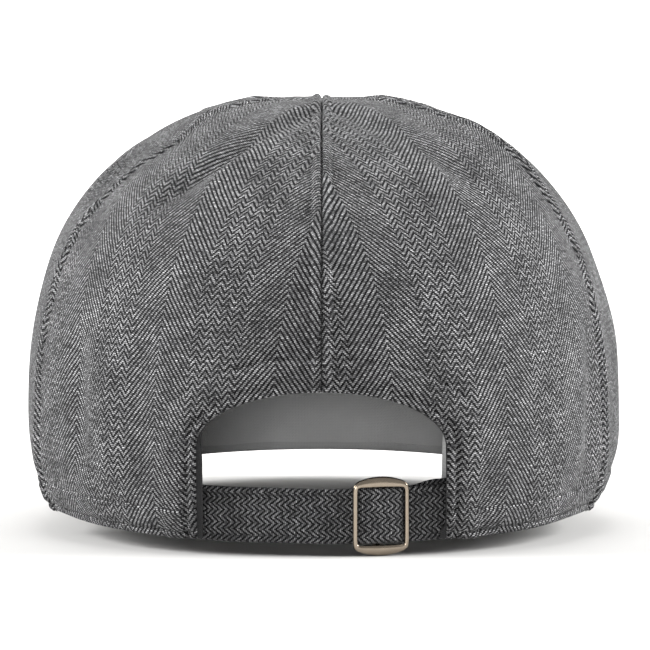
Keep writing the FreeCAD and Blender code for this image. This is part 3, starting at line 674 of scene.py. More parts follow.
# ------------------------------------------------------------------ finishes
class Graph:
    """Short way to build a node tree."""

    def __init__(self, tree: bpy.types.NodeTree) -> None:
        """Takes the tree to build in."""
        self.tree = tree

    def node(self, kind: str, **settings: object) -> bpy.types.Node:
        """Adds a node and sets its properties."""
        node = self.tree.nodes.new(kind)
        for key, value in settings.items():
            setattr(node, key, value)
        return node

    def feed(self, socket: bpy.types.NodeSocket, value: object) -> None:
        """Links a socket to another one, or sets its value."""
        if isinstance(value, bpy.types.NodeSocket):
            self.tree.links.new(value, socket)
        else:
            socket.default_value = value

    def math(self, operation: str, *values: object) -> bpy.types.NodeSocket:
        """Result of a math node.

        Args:
            operation: The node's operation.
            values: Sockets or numbers for its inputs.

        Returns:
            Its output.
        """
        node = self.node("ShaderNodeMath", operation=operation)
        for socket, value in zip(node.inputs, values):
            self.feed(socket, value)
        return node.outputs[0]

    def mix(self, factor: object, low: object, high: object) -> bpy.types.NodeSocket:
        """Mix of two colours."""
        node = self.node("ShaderNodeMix", data_type="RGBA")
        self.feed(node.inputs["Factor"], factor)
        self.feed(node.inputs[6], low)
        self.feed(node.inputs[7], high)
        return node.outputs[2]

    def noise(self, place: bpy.types.NodeSocket, scale: float, detail: float = 2.0
              ) -> bpy.types.NodeSocket:
        """Value of a noise texture at a place."""
        node = self.node("ShaderNodeTexNoise")
        self.feed(node.inputs["Vector"], place)
        self.feed(node.inputs["Scale"], scale)
        self.feed(node.inputs["Detail"], detail)
        return node.outputs[0]

    def combine(self, x: object, y: object, z: object = 0.0) -> bpy.types.NodeSocket:
        """Vector of three values."""
        node = self.node("ShaderNodeCombineXYZ")
        for socket, value in zip(node.inputs, (x, y, z)):
            self.feed(socket, value)
        return node.outputs[0]

    def hashed(self, place: bpy.types.NodeSocket) -> bpy.types.NodeSocket:
        """Random value from 0 to 1 for each place."""
        node = self.node("ShaderNodeTexWhiteNoise", noise_dimensions="3D")
        self.feed(node.inputs["Vector"], place)
        return node.outputs["Value"]


def new_group(name: str, inputs: dict[str, tuple[str, object]], outputs: dict[str, str]
              ) -> tuple[bpy.types.NodeTree, Graph, bpy.types.Node, bpy.types.Node]:
    """Starts a shader node group.

    Args:
        name: Name of the group.
        inputs: Kind and default of each input.
        outputs: Kind of each output.

    Returns:
        The group, a graph for it, and its input and output nodes.
    """
    tree = bpy.data.node_groups.new(name, "ShaderNodeTree")
    for label, (kind, default) in inputs.items():
        socket = tree.interface.new_socket(label, in_out="INPUT", socket_type=kind)
        if default is not None:
            socket.default_value = default
    for label, kind in outputs.items():
        tree.interface.new_socket(label, in_out="OUTPUT", socket_type=kind)
    graph = Graph(tree)
    return tree, graph, graph.node("NodeGroupInput"), graph.node("NodeGroupOutput")


FLOAT, COLOUR, VECTOR = "NodeSocketFloat", "NodeSocketColor", "NodeSocketVector"


def herringbone_group() -> bpy.types.NodeTree:
    """Builds the tweed's weave: a 2/2 twill that turns back and forth, thread by thread."""
    tree, graph, given, result = new_group(
        "herringbone",
        {"Place": (VECTOR, None), "Thread Across": (FLOAT, 0.36), "Thread Along": (FLOAT, 0.46),
         "Wide Threads": (FLOAT, 30.0), "Narrow Threads": (FLOAT, 5.0),
         "Narrow Columns": (FLOAT, 8.0), "Start": (FLOAT, 0.0),
         "Light": (COLOUR, None), "Dark": (COLOUR, None)},
        {"Color": COLOUR, "Height": FLOAT, "Fleck": FLOAT})
    math_, place = graph.math, given.outputs["Place"]
    split = graph.node("ShaderNodeSeparateXYZ")
    wobble = graph.node("ShaderNodeTexNoise")
    graph.feed(wobble.inputs["Vector"], place)
    graph.feed(wobble.inputs["Scale"], 180.0)
    shift = graph.node("ShaderNodeVectorMath", operation="MULTIPLY_ADD")
    graph.feed(shift.inputs[0], wobble.outputs["Color"])
    graph.feed(shift.inputs[1], (0.00045, 0.00045, 0.0))
    graph.feed(shift.inputs[2], place)
    graph.feed(split.inputs[0], shift.outputs[0])
    across = math_("MULTIPLY", split.outputs[0], 1000.0)
    along = math_("MULTIPLY", split.outputs[1], 1000.0)
    thread_x = math_("ADD", math_("DIVIDE", across, given.outputs["Thread Across"]),
                     given.outputs["Start"])
    thread_y = math_("DIVIDE", along, given.outputs["Thread Along"])
    column, row = math_("FLOOR", thread_x), math_("FLOOR", thread_y)
    wide, narrow = given.outputs["Wide Threads"], given.outputs["Narrow Threads"]
    both = math_("MULTIPLY", wide, 2.0)
    repeat = math_("MULTIPLY_ADD", narrow, given.outputs["Narrow Columns"], both)
    inside = math_("FLOORED_MODULO", column, repeat)
    in_narrow = math_("GREATER_THAN", inside, math_("SUBTRACT", both, 0.5))
    width = math_("MULTIPLY_ADD", in_narrow, math_("SUBTRACT", narrow, wide), wide)
    local = math_("SUBTRACT", inside, math_("MULTIPLY", in_narrow, both))
    fold = math_("FLOORED_MODULO", local, math_("MULTIPLY", width, 2.0))
    back = math_("GREATER_THAN", fold, math_("SUBTRACT", width, 0.5))
    zigzag = math_("PINGPONG", fold, width)
    step = math_("MULTIPLY_ADD", back, 2.0, math_("SUBTRACT", row, zigzag))
    phase = math_("FLOORED_MODULO", step, 4.0)
    weft_up = math_("LESS_THAN", phase, 1.5)
    warp_yarn = graph.combine(math_("MULTIPLY", column, 7.31), math_("MULTIPLY", along, 0.32))
    weft_yarn = graph.combine(math_("MULTIPLY", across, 0.32), math_("MULTIPLY", row, 7.31), 5.0)
    mottle_up = graph.noise(weft_yarn, 1.0, 2.0)
    mottle_down = graph.noise(warp_yarn, 1.0, 3.0)
    fleck = graph.hashed(graph.combine(column, row))
    cross_x = math_("SUBTRACT", math_("MULTIPLY", math_("FRACT", thread_x), 2.0), 1.0)
    cross_y = math_("SUBTRACT", math_("MULTIPLY", math_("FRACT", thread_y), 2.0), 1.0)
    round_x = math_("SUBTRACT", 1.0, math_("POWER", math_("ABSOLUTE", cross_x), 2.5))
    round_y = math_("SUBTRACT", 1.0, math_("POWER", math_("ABSOLUTE", cross_y), 2.5))
    warp_down = math_("SUBTRACT", 1.0, weft_up)
    height = math_("ADD", math_("MULTIPLY", weft_up, round_y),
                   math_("MULTIPLY", warp_down, math_("MULTIPLY", round_x, 0.85)))
    patch = math_("MULTIPLY_ADD", graph.noise(place, 75.0, 4.0), 1.5, 0.25)
    light_gain = math_("MAXIMUM", math_("MULTIPLY_ADD", mottle_up, 3.0, -0.6), 0.15)
    light_gain = math_("MULTIPLY", light_gain, math_("MULTIPLY_ADD", fleck, 0.9, 0.5))
    # The light yarn's colour falls off towards its edges with its rounding profile: painted shade
    # in the dips between threads. The patch noise is uneven tone.
    light_gain = math_("MULTIPLY", light_gain, math_("MULTIPLY", round_y, patch))
    dark_gain = math_("MULTIPLY_ADD", mottle_down, 4.2, -1.1)
    speck = math_("MULTIPLY", math_("GREATER_THAN", fleck, 0.94), 5.0)
    dark_gain = math_("ADD", math_("MAXIMUM", dark_gain, 0.25), speck)
    scaled = []
    for colour, gain in (("Light", light_gain), ("Dark", dark_gain)):
        node = graph.node("ShaderNodeVectorMath", operation="SCALE")
        graph.feed(node.inputs[0], given.outputs[colour])
        graph.feed(node.inputs["Scale"], gain)
        scaled.append(node.outputs[0])
    colour = graph.mix(weft_up, scaled[1], scaled[0])
    graph.feed(result.inputs["Color"], colour)
    graph.feed(result.inputs["Height"], height)
    graph.feed(result.inputs["Fleck"], fleck)
    return tree


def weave_group() -> bpy.types.NodeTree:
    """Builds a plain weave's shading: threads that cross, with a little unevenness, and painted
    shade that darkens each thread towards its edges.
    """
    tree, graph, given, result = new_group(
        "plain_weave",
        {"Place": (VECTOR, None), "Thread": (FLOAT, 0.4), "Contrast": (FLOAT, 0.2),
         "Color": (COLOUR, None)},
        {"Color": COLOUR, "Height": FLOAT})
    math_, place = graph.math, given.outputs["Place"]
    split = graph.node("ShaderNodeSeparateXYZ")
    graph.feed(split.inputs[0], place)
    scale = math_("DIVIDE", 1000.0, given.outputs["Thread"])
    x = math_("MULTIPLY", split.outputs[0], scale)
    y = math_("MULTIPLY", split.outputs[1], scale)
    checker = math_("FLOORED_MODULO", math_("ADD", math_("FLOOR", x), math_("FLOOR", y)), 2.0)
    bend_x = math_("SINE", math_("MULTIPLY", math_("FRACT", x), math.pi))
    bend_y = math_("SINE", math_("MULTIPLY", math_("FRACT", y), math.pi))
    height = math_("ADD", math_("MULTIPLY", checker, bend_x),
                   math_("MULTIPLY", math_("SUBTRACT", 1.0, checker), bend_y))
    cloud = graph.noise(place, 90.0, 4.0)
    # The colour follows the threads' height, so each thread darkens towards its edges: painted
    # shade between threads. The cloud adds uneven tone.
    gain = math_("MULTIPLY_ADD", math_("ADD", height, math_("MULTIPLY", cloud, 1.4)),
                 given.outputs["Contrast"], 1.0)
    gain = math_("SUBTRACT", gain, given.outputs["Contrast"])
    node = graph.node("ShaderNodeVectorMath", operation="SCALE")
    graph.feed(node.inputs[0], given.outputs["Color"])
    graph.feed(node.inputs["Scale"], gain)
    graph.feed(result.inputs["Color"], node.outputs[0])
    graph.feed(result.inputs["Height"], height)
    return tree


@dataclass(frozen=True)
class Surface:
    """Constants of a principled surface."""

    roughness: float = 0.9
    metallic: float = 0.0
    sheen: float = 0.0
    specular: float = 0.25
    relief: float = 0.0001

    def start(self, name: str) -> tuple[bpy.types.Material, Graph, bpy.types.Node]:
        """Starts a material.

        Args:
            name: Name of the material.

        Returns:
            The material, a graph for it and its shader.
        """
        material = bpy.data.materials.new(name)
        material.use_nodes = True
        graph = Graph(material.node_tree)
        shader = material.node_tree.nodes["Principled BSDF"]
        for key, value in (("Roughness", self.roughness), ("Metallic", self.metallic),
                           ("Sheen Weight", self.sheen), ("Sheen Roughness", 0.45),
                           ("Specular IOR Level", self.specular)):
            shader.inputs[key].default_value = value
        return material, graph, shader

    def roughen(self, graph: Graph, shader: bpy.types.Node,
                height: bpy.types.NodeSocket) -> None:
        """Gives the shader a bump of the surface's relief."""
        node = graph.node("ShaderNodeBump")
        graph.feed(node.inputs["Strength"], 1.0)
        graph.feed(node.inputs["Distance"], self.relief)
        graph.feed(node.inputs["Height"], height)
        graph.feed(shader.inputs["Normal"], node.outputs[0])


def woven_place(graph: Graph) -> bpy.types.NodeSocket:
    """Place on the cloth in metres."""
    return graph.node("ShaderNodeUVMap", uv_map="weave").outputs[0]


@dataclass(frozen=True)
class Tweed:
    """Herringbone tweed."""

    name: str
    light: tuple[float, float, float] = (0.29, 0.29, 0.295)
    dark: tuple[float, float, float] = (0.008, 0.008, 0.009)
    thread: tuple[float, float] = (0.36, 0.46)
    wide: float = 30.0
    narrow: float = 5.0
    columns: float = 8.0
    start: float = 0.0
    surface: Surface = Surface(roughness=0.95, sheen=0.08, specular=0.05, relief=0.0003)

    def material(self) -> bpy.types.Material:
        """Builds the material."""
        material, graph, shader = self.surface.start(self.name)
        group = graph.node("ShaderNodeGroup",
                           node_tree=bpy.data.node_groups.get("herringbone")
                           or herringbone_group())
        place = woven_place(graph)
        for key, value in (("Place", place), ("Thread Across", self.thread[0]),
                           ("Thread Along", self.thread[1]), ("Wide Threads", self.wide),
                           ("Narrow Threads", self.narrow), ("Narrow Columns", self.columns),
                           ("Start", self.start), ("Light", (*self.light, 1.0)),
                           ("Dark", (*self.dark, 1.0))):
            graph.feed(group.inputs[key], value)
        graph.feed(shader.inputs["Base Color"], group.outputs["Color"])
        fuzz = graph.noise(place, 1500.0, 5.0)
        height = graph.math("MULTIPLY_ADD", fuzz, 1.3, group.outputs["Height"])
        self.surface.roughen(graph, shader, height)
        return material


@dataclass(frozen=True)
class Plain:
    """Plain woven cloth, mesh or tape."""

    name: str
    colour: tuple[float, float, float]
    thread: float = 0.4
    contrast: float = 0.2
    surface: Surface = Surface(roughness=0.85, sheen=0.1, relief=0.00008)

    def material(self) -> bpy.types.Material:
        """Builds the material."""
        material, graph, shader = self.surface.start(self.name)
        group = graph.node("ShaderNodeGroup",
                           node_tree=bpy.data.node_groups.get("plain_weave") or weave_group())
        for key, value in (("Place", woven_place(graph)), ("Thread", self.thread),
                           ("Contrast", self.contrast), ("Color", (*self.colour, 1.0))):
            graph.feed(group.inputs[key], value)
        graph.feed(shader.inputs["Base Color"], group.outputs["Color"])
        self.surface.roughen(graph, shader, group.outputs["Height"])
        return material


@dataclass(frozen=True)
class Solid:
    """Metal, board, foam or thread, slightly uneven."""

    name: str
    colour: tuple[float, float, float]
    surface: Surface
    scale: float = 400.0
    spread: float = 0.1

    def material(self) -> bpy.types.Material:
        """Builds the material."""
        material, graph, shader = self.surface.start(self.name)
        place = graph.node("ShaderNodeTexCoord").outputs["Object"]
        cloud = graph.noise(place, self.scale, 4.0)
        low = tuple(value * (1 - self.spread) for value in self.colour)
        high = tuple(min(value * (1 + self.spread), 1.0) for value in self.colour)
        graph.feed(shader.inputs["Base Color"], graph.mix(cloud, (*low, 1.0), (*high, 1.0)))
        rough = graph.math("MULTIPLY_ADD", cloud, self.spread, self.surface.roughness)
        graph.feed(shader.inputs["Roughness"], rough)
        self.surface.roughen(graph, shader, cloud)
        return material


class Finish(Enum):
    """The finishes of the cap."""

    TWEED = Tweed("crown_weave")
    STRAP = Tweed("strap_weave", light=(0.23, 0.23, 0.235), dark=(0.004, 0.004, 0.005),
                  thread=(0.34, 0.42), wide=0.0, narrow=5.0, columns=2.0)
    TAPE = Plain("black_tape", (0.02, 0.02, 0.021), 0.5, 0.4)
    BUCKRAM = Plain("grey_buckram", (0.42, 0.42, 0.42), 0.7, 0.12)
    SWEATBAND = Plain("grey_sweatband", (0.72, 0.72, 0.72), 0.5, 0.12)
    HEM = Plain("sweatband_hem", (0.60, 0.60, 0.60), 0.5, 0.2)
    BOARD = Solid("board", (0.8, 0.8, 0.78), Surface(roughness=0.5, relief=0.00002))
    THREAD = Solid("thread", (0.02, 0.02, 0.022), Surface(roughness=0.75, sheen=0.2), 3000.0, 0.3)
    STEEL = Solid("pressed_metal", (0.62, 0.62, 0.62), Surface(0.32, 1.0, relief=0.00001))
    BUCKLE = Solid("champagne_metal", (0.34, 0.285, 0.225), Surface(0.18, 1.0, relief=0.00001))
    FLOOR = Solid("floor", (0.54, 0.536, 0.528), Surface(roughness=0.9), 3.0, 0.0)

    def material(self) -> bpy.types.Material:
        """The finish's material, built once."""
        return bpy.data.materials.get(self.value.name) or self.value.material()


# ------------------------------------------------------------------ crown
MERIDIAN = np.linspace(-1.0, 1.0, 2001)
WIDEST_RADIUS = 88.0
EDGE_STEP = 0.28


def arc_of(turn: float) -> np.ndarray:
    """Distance up the crown's meridian at each level of MERIDIAN."""
    points = FORM.point(np.full(MERIDIAN.shape, turn), MERIDIAN)
    steps = np.linalg.norm(np.diff(points, axis=0), axis=1)
    return np.concatenate([[0.0], np.cumsum(steps)])


def spaced(length: float, fine: float, coarse: float, edge: float = 4.5) -> np.ndarray:
    """Steps along a length, close together at both ends.

    Args:
        length: The length.
        fine: Step within the edge.
        coarse: Step in the middle.
        edge: Width of the finely stepped edge.

    Returns:
        Places from 0 to 1.
    """
    near = np.arange(0.0, edge, fine)
    count = max(int((length - 2 * edge) / coarse), 2)
    middle = np.linspace(edge, length - edge, count)
    return np.concatenate([near, middle, length - near[::-1]]) / length


@dataclass
class CrownPanel:
    """One of the six crown panels."""

    name: str
    side: int
    turns: tuple[float, float]
    grain_turn: float
    grain_shift: float
    coarse: float = 1.3
    rise_step: float = 0.75

    def rows(self) -> np.ndarray:
        """Shares of the way from the hem to the top."""
        hem = np.array([0.0, 0.12, 0.3, 0.55, 0.85, 1.25, 1.75])
        length = arc_of(self.grain_turn)[-1]
        return np.concatenate([hem, np.arange(2.4, length, self.rise_step), [length]]) / length

    def levels(self, start: np.ndarray, shares: np.ndarray) -> np.ndarray:
        """Levels of a grid of rows and columns.

        Args:
            start: Level of the hem at each column.
            shares: Share of the way up at each row.

        Returns:
            Array of rows by columns.
        """
        arc = arc_of(self.grain_turn)
        low = np.interp(start, MERIDIAN, arc)
        along = low + (arc[-1] - low) * shares[:, None]
        return np.interp(along, arc, MERIDIAN)

    def hem(self, turn: np.ndarray) -> np.ndarray:
        """Level at which the panel starts: the rim, or the visor's upper face."""
        height = np.zeros(turn.shape)
        for _ in range(8):
            point = FORM.point(turn, height / FORM.widest - 1.0)
            over = np.where(point[..., 1] < VISOR.end,
                            VISOR.height(FORM, point[..., 0], point[..., 1], 0.0), 0.0)
            height = np.maximum(over, 0.0)
        return height / FORM.widest - 1.0

    def grid(self) -> tuple[np.ndarray, np.ndarray, np.ndarray]:
        """Turns, levels and faces of the panel, with the opening left out."""
        first, last = self.turns
        rows = self.rows()
        if first > 0.0:
            across = spaced(math.radians(last - first) * WIDEST_RADIUS, EDGE_STEP, self.coarse)
            turn = first + (last - first) * across
            share = self.levels(self.hem(turn), rows)
            turn = np.broadcast_to(turn, share.shape)
            return turn, share, grid_faces(*share.shape)
        spring = float(FORM.share_at(ARCH.spring))
        edge_turn = float(FORM.turn_at(np.array(ARCH.half_width), np.array(spring)))
        upper = self.levels(np.array([spring]), rows)[:, 0]
        arc = arc_of(self.grain_turn)
        foot = np.interp(spring, MERIDIAN, arc)
        low_rows = spaced(foot, 0.3, self.rise_step, 1.8) * foot
        lower = np.interp(low_rows, arc, MERIDIAN)[:-1]
        side_levels = np.concatenate([lower, upper])
        left = FORM.turn_at(np.full(side_levels.shape, ARCH.half_width), side_levels)
        left = np.where(side_levels < spring - 1e-9, left, edge_turn)
        across = spaced(math.radians(last - edge_turn) * WIDEST_RADIUS, EDGE_STEP, self.coarse)
        side_turn = left[:, None] + (last - left[:, None]) * across
        side_share = np.broadcast_to(side_levels[:, None], side_turn.shape)
        angle = np.radians(90.0 * spaced(ARCH.half_width * 1.2, EDGE_STEP, 0.8))
        height = ARCH.spring + ARCH.rise * np.cos(angle)
        start = FORM.share_at(height)
        start[-1] = spring
        arch_turn = FORM.turn_at(ARCH.half_width * np.sin(angle), start)
        arch_turn[-1] = edge_turn
        arch_share = self.levels(start, rows)
        arch_turn = np.broadcast_to(arch_turn, arch_share.shape)
        faces = np.concatenate([grid_faces(*arch_share.shape),
                                grid_faces(*side_share.shape, first=arch_share.size)])
        turn = np.concatenate([arch_turn.ravel(), side_turn.ravel()])
        share = np.concatenate([arch_share.ravel(), side_share.ravel()])
        return turn, share, faces

    def draft(self) -> Draft:
        """Builds the panel as a closed shell."""
        turn, share, faces = self.grid()
        turn, share = turn.ravel(), share.ravel()
        key = np.round(np.stack([turn, share], axis=-1), 6)
        _, index, back = np.unique(key, axis=0, return_index=True, return_inverse=True)
        turn, share, faces = turn[index], share[index], back.reshape(-1)[faces]
        steps = np.linspace(0.0, 1.0, 14)[:, None]
        sweep = self.grain_turn + (turn - self.grain_turn) * steps
        path = FORM.point(sweep, np.broadcast_to(share, sweep.shape))
        across = np.linalg.norm(np.diff(path, axis=0), axis=-1).sum(axis=0)
        across = across * np.sign(turn - self.grain_turn) * self.side + self.grain_shift
        along = np.interp(share, MERIDIAN, arc_of(self.grain_turn))
        uv = np.stack([across, along], axis=-1) * MM
        signed = turn * self.side
        outer = CROWN.place(signed, share)
        inner = CROWN.place(signed, share, CLOTH, fine=False)
        draft = Draft(outer, faces if self.side > 0 else faces[:, ::-1], uv)
        return draft.shelled(inner)

    def build(self) -> bpy.types.Object:
        """Builds and dresses the panel."""
        piece = self.draft().piece(f"{self.name}_cloth", Finish.TWEED.material())
        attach(piece, "cap")
        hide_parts(self.name)
        length = float(arc_of(self.grain_turn)[-1]) * MM
        return piece


@dataclass
class Linings:
    """Seam tapes, opening binding and stiff front liners."""

    tape_half: float = 6.0
    tape: float = 0.6
    buckram: float = 0.8
    buckram_top: float = 92.0
    binding: float = 8.0
    peek: float = 1.5

    def layer(self, name: str, node: str, slot: str, finish: Finish, turn: np.ndarray,
              share: np.ndarray, thickness: float, uv: np.ndarray, flip: bool = False
              ) -> bpy.types.Object:
        """Builds a thin layer under the crown cloth.

        Args:
            name: Name of the piece.
            node: Node that it stands for.
            slot: Not used.
            finish: Its finish.
            turn: Signed turns of its grid.
            share: Levels of its grid.
            thickness: Its thickness.
            uv: Place on the cloth in metres.
            flip: Whether the grid runs the other way.

        Returns:
            The piece.
        """
        outer = CROWN.place(turn, share, LINING_DEPTH, fine=False).reshape(-1, 3)
        inner = CROWN.place(turn, share, LINING_DEPTH + thickness, fine=False).reshape(-1, 3)
        faces = grid_faces(*turn.shape)
        draft = Draft(outer, faces[:, ::-1] if flip else faces, uv.reshape(-1, 2))
        piece = draft.shelled(inner).piece(name, finish.material())
        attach(piece, "cap")
        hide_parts(node)
        return piece

    def seam_tape(self, node: str, turn: float, low: float) -> bpy.types.Object:
        """Tape behind a crown seam.

        Args:
            node: Node that it stands for.
            turn: Signed turn of the seam.
            low: Height of its lower end.

        Returns:
            The piece.
        """
        share = np.linspace(float(FORM.share_at(low)), 0.93, 90)[:, None]
        across = np.linspace(-self.tape_half, self.tape_half, 11)[None]
        seam = FORM.point(np.full(share.shape, turn), share)
        radius = np.hypot(seam[..., 0], seam[..., 1] - FORM.lean)
        turns = turn + np.degrees(np.arcsin(np.clip(across / radius, -0.9, 0.9)))
        shares = np.broadcast_to(share, turns.shape)
        uv = np.stack([np.broadcast_to(across, turns.shape), shares * 100.0], axis=-1) * MM
        return self.layer(f"{node}_cloth", node, "tape", Finish.TAPE, turns, shares, self.tape, uv)

    def opening_binding(self) -> bpy.types.Object:
        """Binding behind the opening's edge."""
        grows = np.concatenate([[-self.peek, -self.peek / 2], np.linspace(0, self.binding, 9)])
        turn, share = zip(*(ARCH.outline(FORM, float(grow), 90) for grow in grows))
        turn, share = np.stack(turn), np.stack(share)
        place = np.linspace(0.0, 1.0, turn.shape[1])
        shown = 1.0 - smooth_step(place, 0.16, 0.3) + smooth_step(place, 0.965, 0.985)
        for row in (0, 1):
            turn[row] = turn[2] + (turn[row] - turn[2]) * shown
            share[row] = share[2] + (share[row] - share[2]) * shown
        along = np.broadcast_to(np.arange(turn.shape[1]) * 1.4, turn.shape)
        uv = np.stack([np.broadcast_to(grows[:, None], turn.shape), along], axis=-1) * MM
        return self.layer("opening_binding_cloth", "opening_binding", "tape", Finish.TAPE,
                          turn, share, self.tape, uv, flip=True)

    def front_buckram(self, node: str, side: int) -> bpy.types.Object:
        """Stiff liner of a front panel."""
        turn = np.linspace(124.5, 175.5, 60)
        panel = CrownPanel(node, side, (120.0, 180.0), 150.0, 0.0)
        start = panel.hem(turn)
        share = start + (float(FORM.share_at(self.buckram_top)) - start) * np.linspace(
            0.02, 1.0, 70)[:, None]
        turn = np.broadcast_to(turn, share.shape)
        point = FORM.point(turn, share)
        uv = np.stack([np.radians(turn) * WIDEST_RADIUS, point[..., 2]], axis=-1) * MM
        return self.layer(f"{node}_cloth", node, "buckram", Finish.BUCKRAM, turn * side, share,
                          self.buckram, uv, flip=side < 0)

    def build(self) -> list[bpy.types.Object]:
        """Builds every layer."""
        tapes = {"seam_tape_back": (0.0, 45.5), "seam_tape_back_left": (60.0, 3.0),
                 "seam_tape_back_right": (-60.0, 3.0), "seam_tape_front_left": (120.0, 14.0),
                 "seam_tape_front_right": (-120.0, 14.0), "seam_tape_front": (180.0, 20.0)}
        made = [self.seam_tape(node, turn, low) for node, (turn, low) in tapes.items()]
        made.append(self.opening_binding())
        made.append(self.front_buckram("front_buckram_left", 1))
        made.append(self.front_buckram("front_buckram_right", -1))
        return made


def rim_oval(turn: np.ndarray, inset: np.ndarray) -> np.ndarray:
    """Points of the rim's oval about the rim's centre.

    Args:
        turn: Angles from +Y towards +X in degrees.
        inset: How far inside the rim's outer face.

    Returns:
        Points at the rim's height.
    """
    angle = np.radians(turn)
    radius = FORM.polar(angle, FORM.half_width - inset, FORM.rear_radius - inset,
                        FORM.front_radius - inset, np.zeros(angle.shape))
    return np.stack([radius * np.sin(angle), radius * np.cos(angle), np.zeros(angle.shape)],
                    axis=-1)


@dataclass
class Sweatband:
    """Padded band round the inside of the rim."""

    height: float = 32.0
    thickness: float = 2.4
    inset: float = 2.35
    tuck_in: float = 3.7
    hem: float = 4.0
    end_turn: float = 22.5

    def frame(self) -> tuple[np.ndarray, np.ndarray]:
        """Points of the band's middle and its outward directions, from left to right."""
        turn = np.linspace(self.end_turn, 360.0 - self.end_turn, 420)
        rear = 1.0 - smooth_step(np.abs((turn + 180.0) % 360.0 - 180.0), 48.0, 68.0)
        inset = self.inset + self.thickness / 2 + self.tuck_in * rear
        centres = rim_oval(turn, inset)
        tangent = np.gradient(centres, axis=0)
        tangent /= np.linalg.norm(tangent, axis=1, keepdims=True)
        outs = np.cross(tangent, np.array([0.0, 0.0, 1.0]))
        return centres, -outs

    def build(self) -> list[bpy.types.Object]:
        """Builds the band and its dark hem."""
        centres, outs = self.frame()
        ups = np.broadcast_to(np.array([0.0, 0.0, 1.0]), centres.shape)
        section = band_section(self.thickness, self.height - 0.4, 26, 7)
        face = section[:, 0] > 0
        swell = np.cos(np.clip(section[:, 1] / (self.height / 2), -1, 1) * math.pi / 2)
        along = np.concatenate([[0], np.cumsum(np.linalg.norm(np.diff(centres, axis=0), axis=1))])
        ripple = 0.25 * waves(along, 34.0, 41)
        bodies = np.broadcast_to(section, (len(centres),) + section.shape).copy()
        bodies[..., 0] += np.where(face, 0.0, -swell * 0.8)
        bodies[..., 0] += np.where(face, 0.0, 1.0) * ripple[:, None] * swell
        draft = swept(centres + ups * self.height / 2, outs, ups, bodies).flipped()
        band = draft.piece("sweatband_cloth", Finish.SWEATBAND.material())
        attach(band, "cap")
        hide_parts("sweatband", "sweatband_padding")
        hem_section = band_section(self.thickness + 0.5, self.hem, 6, 7)
        hem_place = centres + ups * (self.hem / 2 + 0.1)
        hem = swept(hem_place, outs, ups, hem_section).flipped().piece(
            "sweatband_hem", Finish.HEM.material())
        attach(hem, "cap")
        return [band, hem]


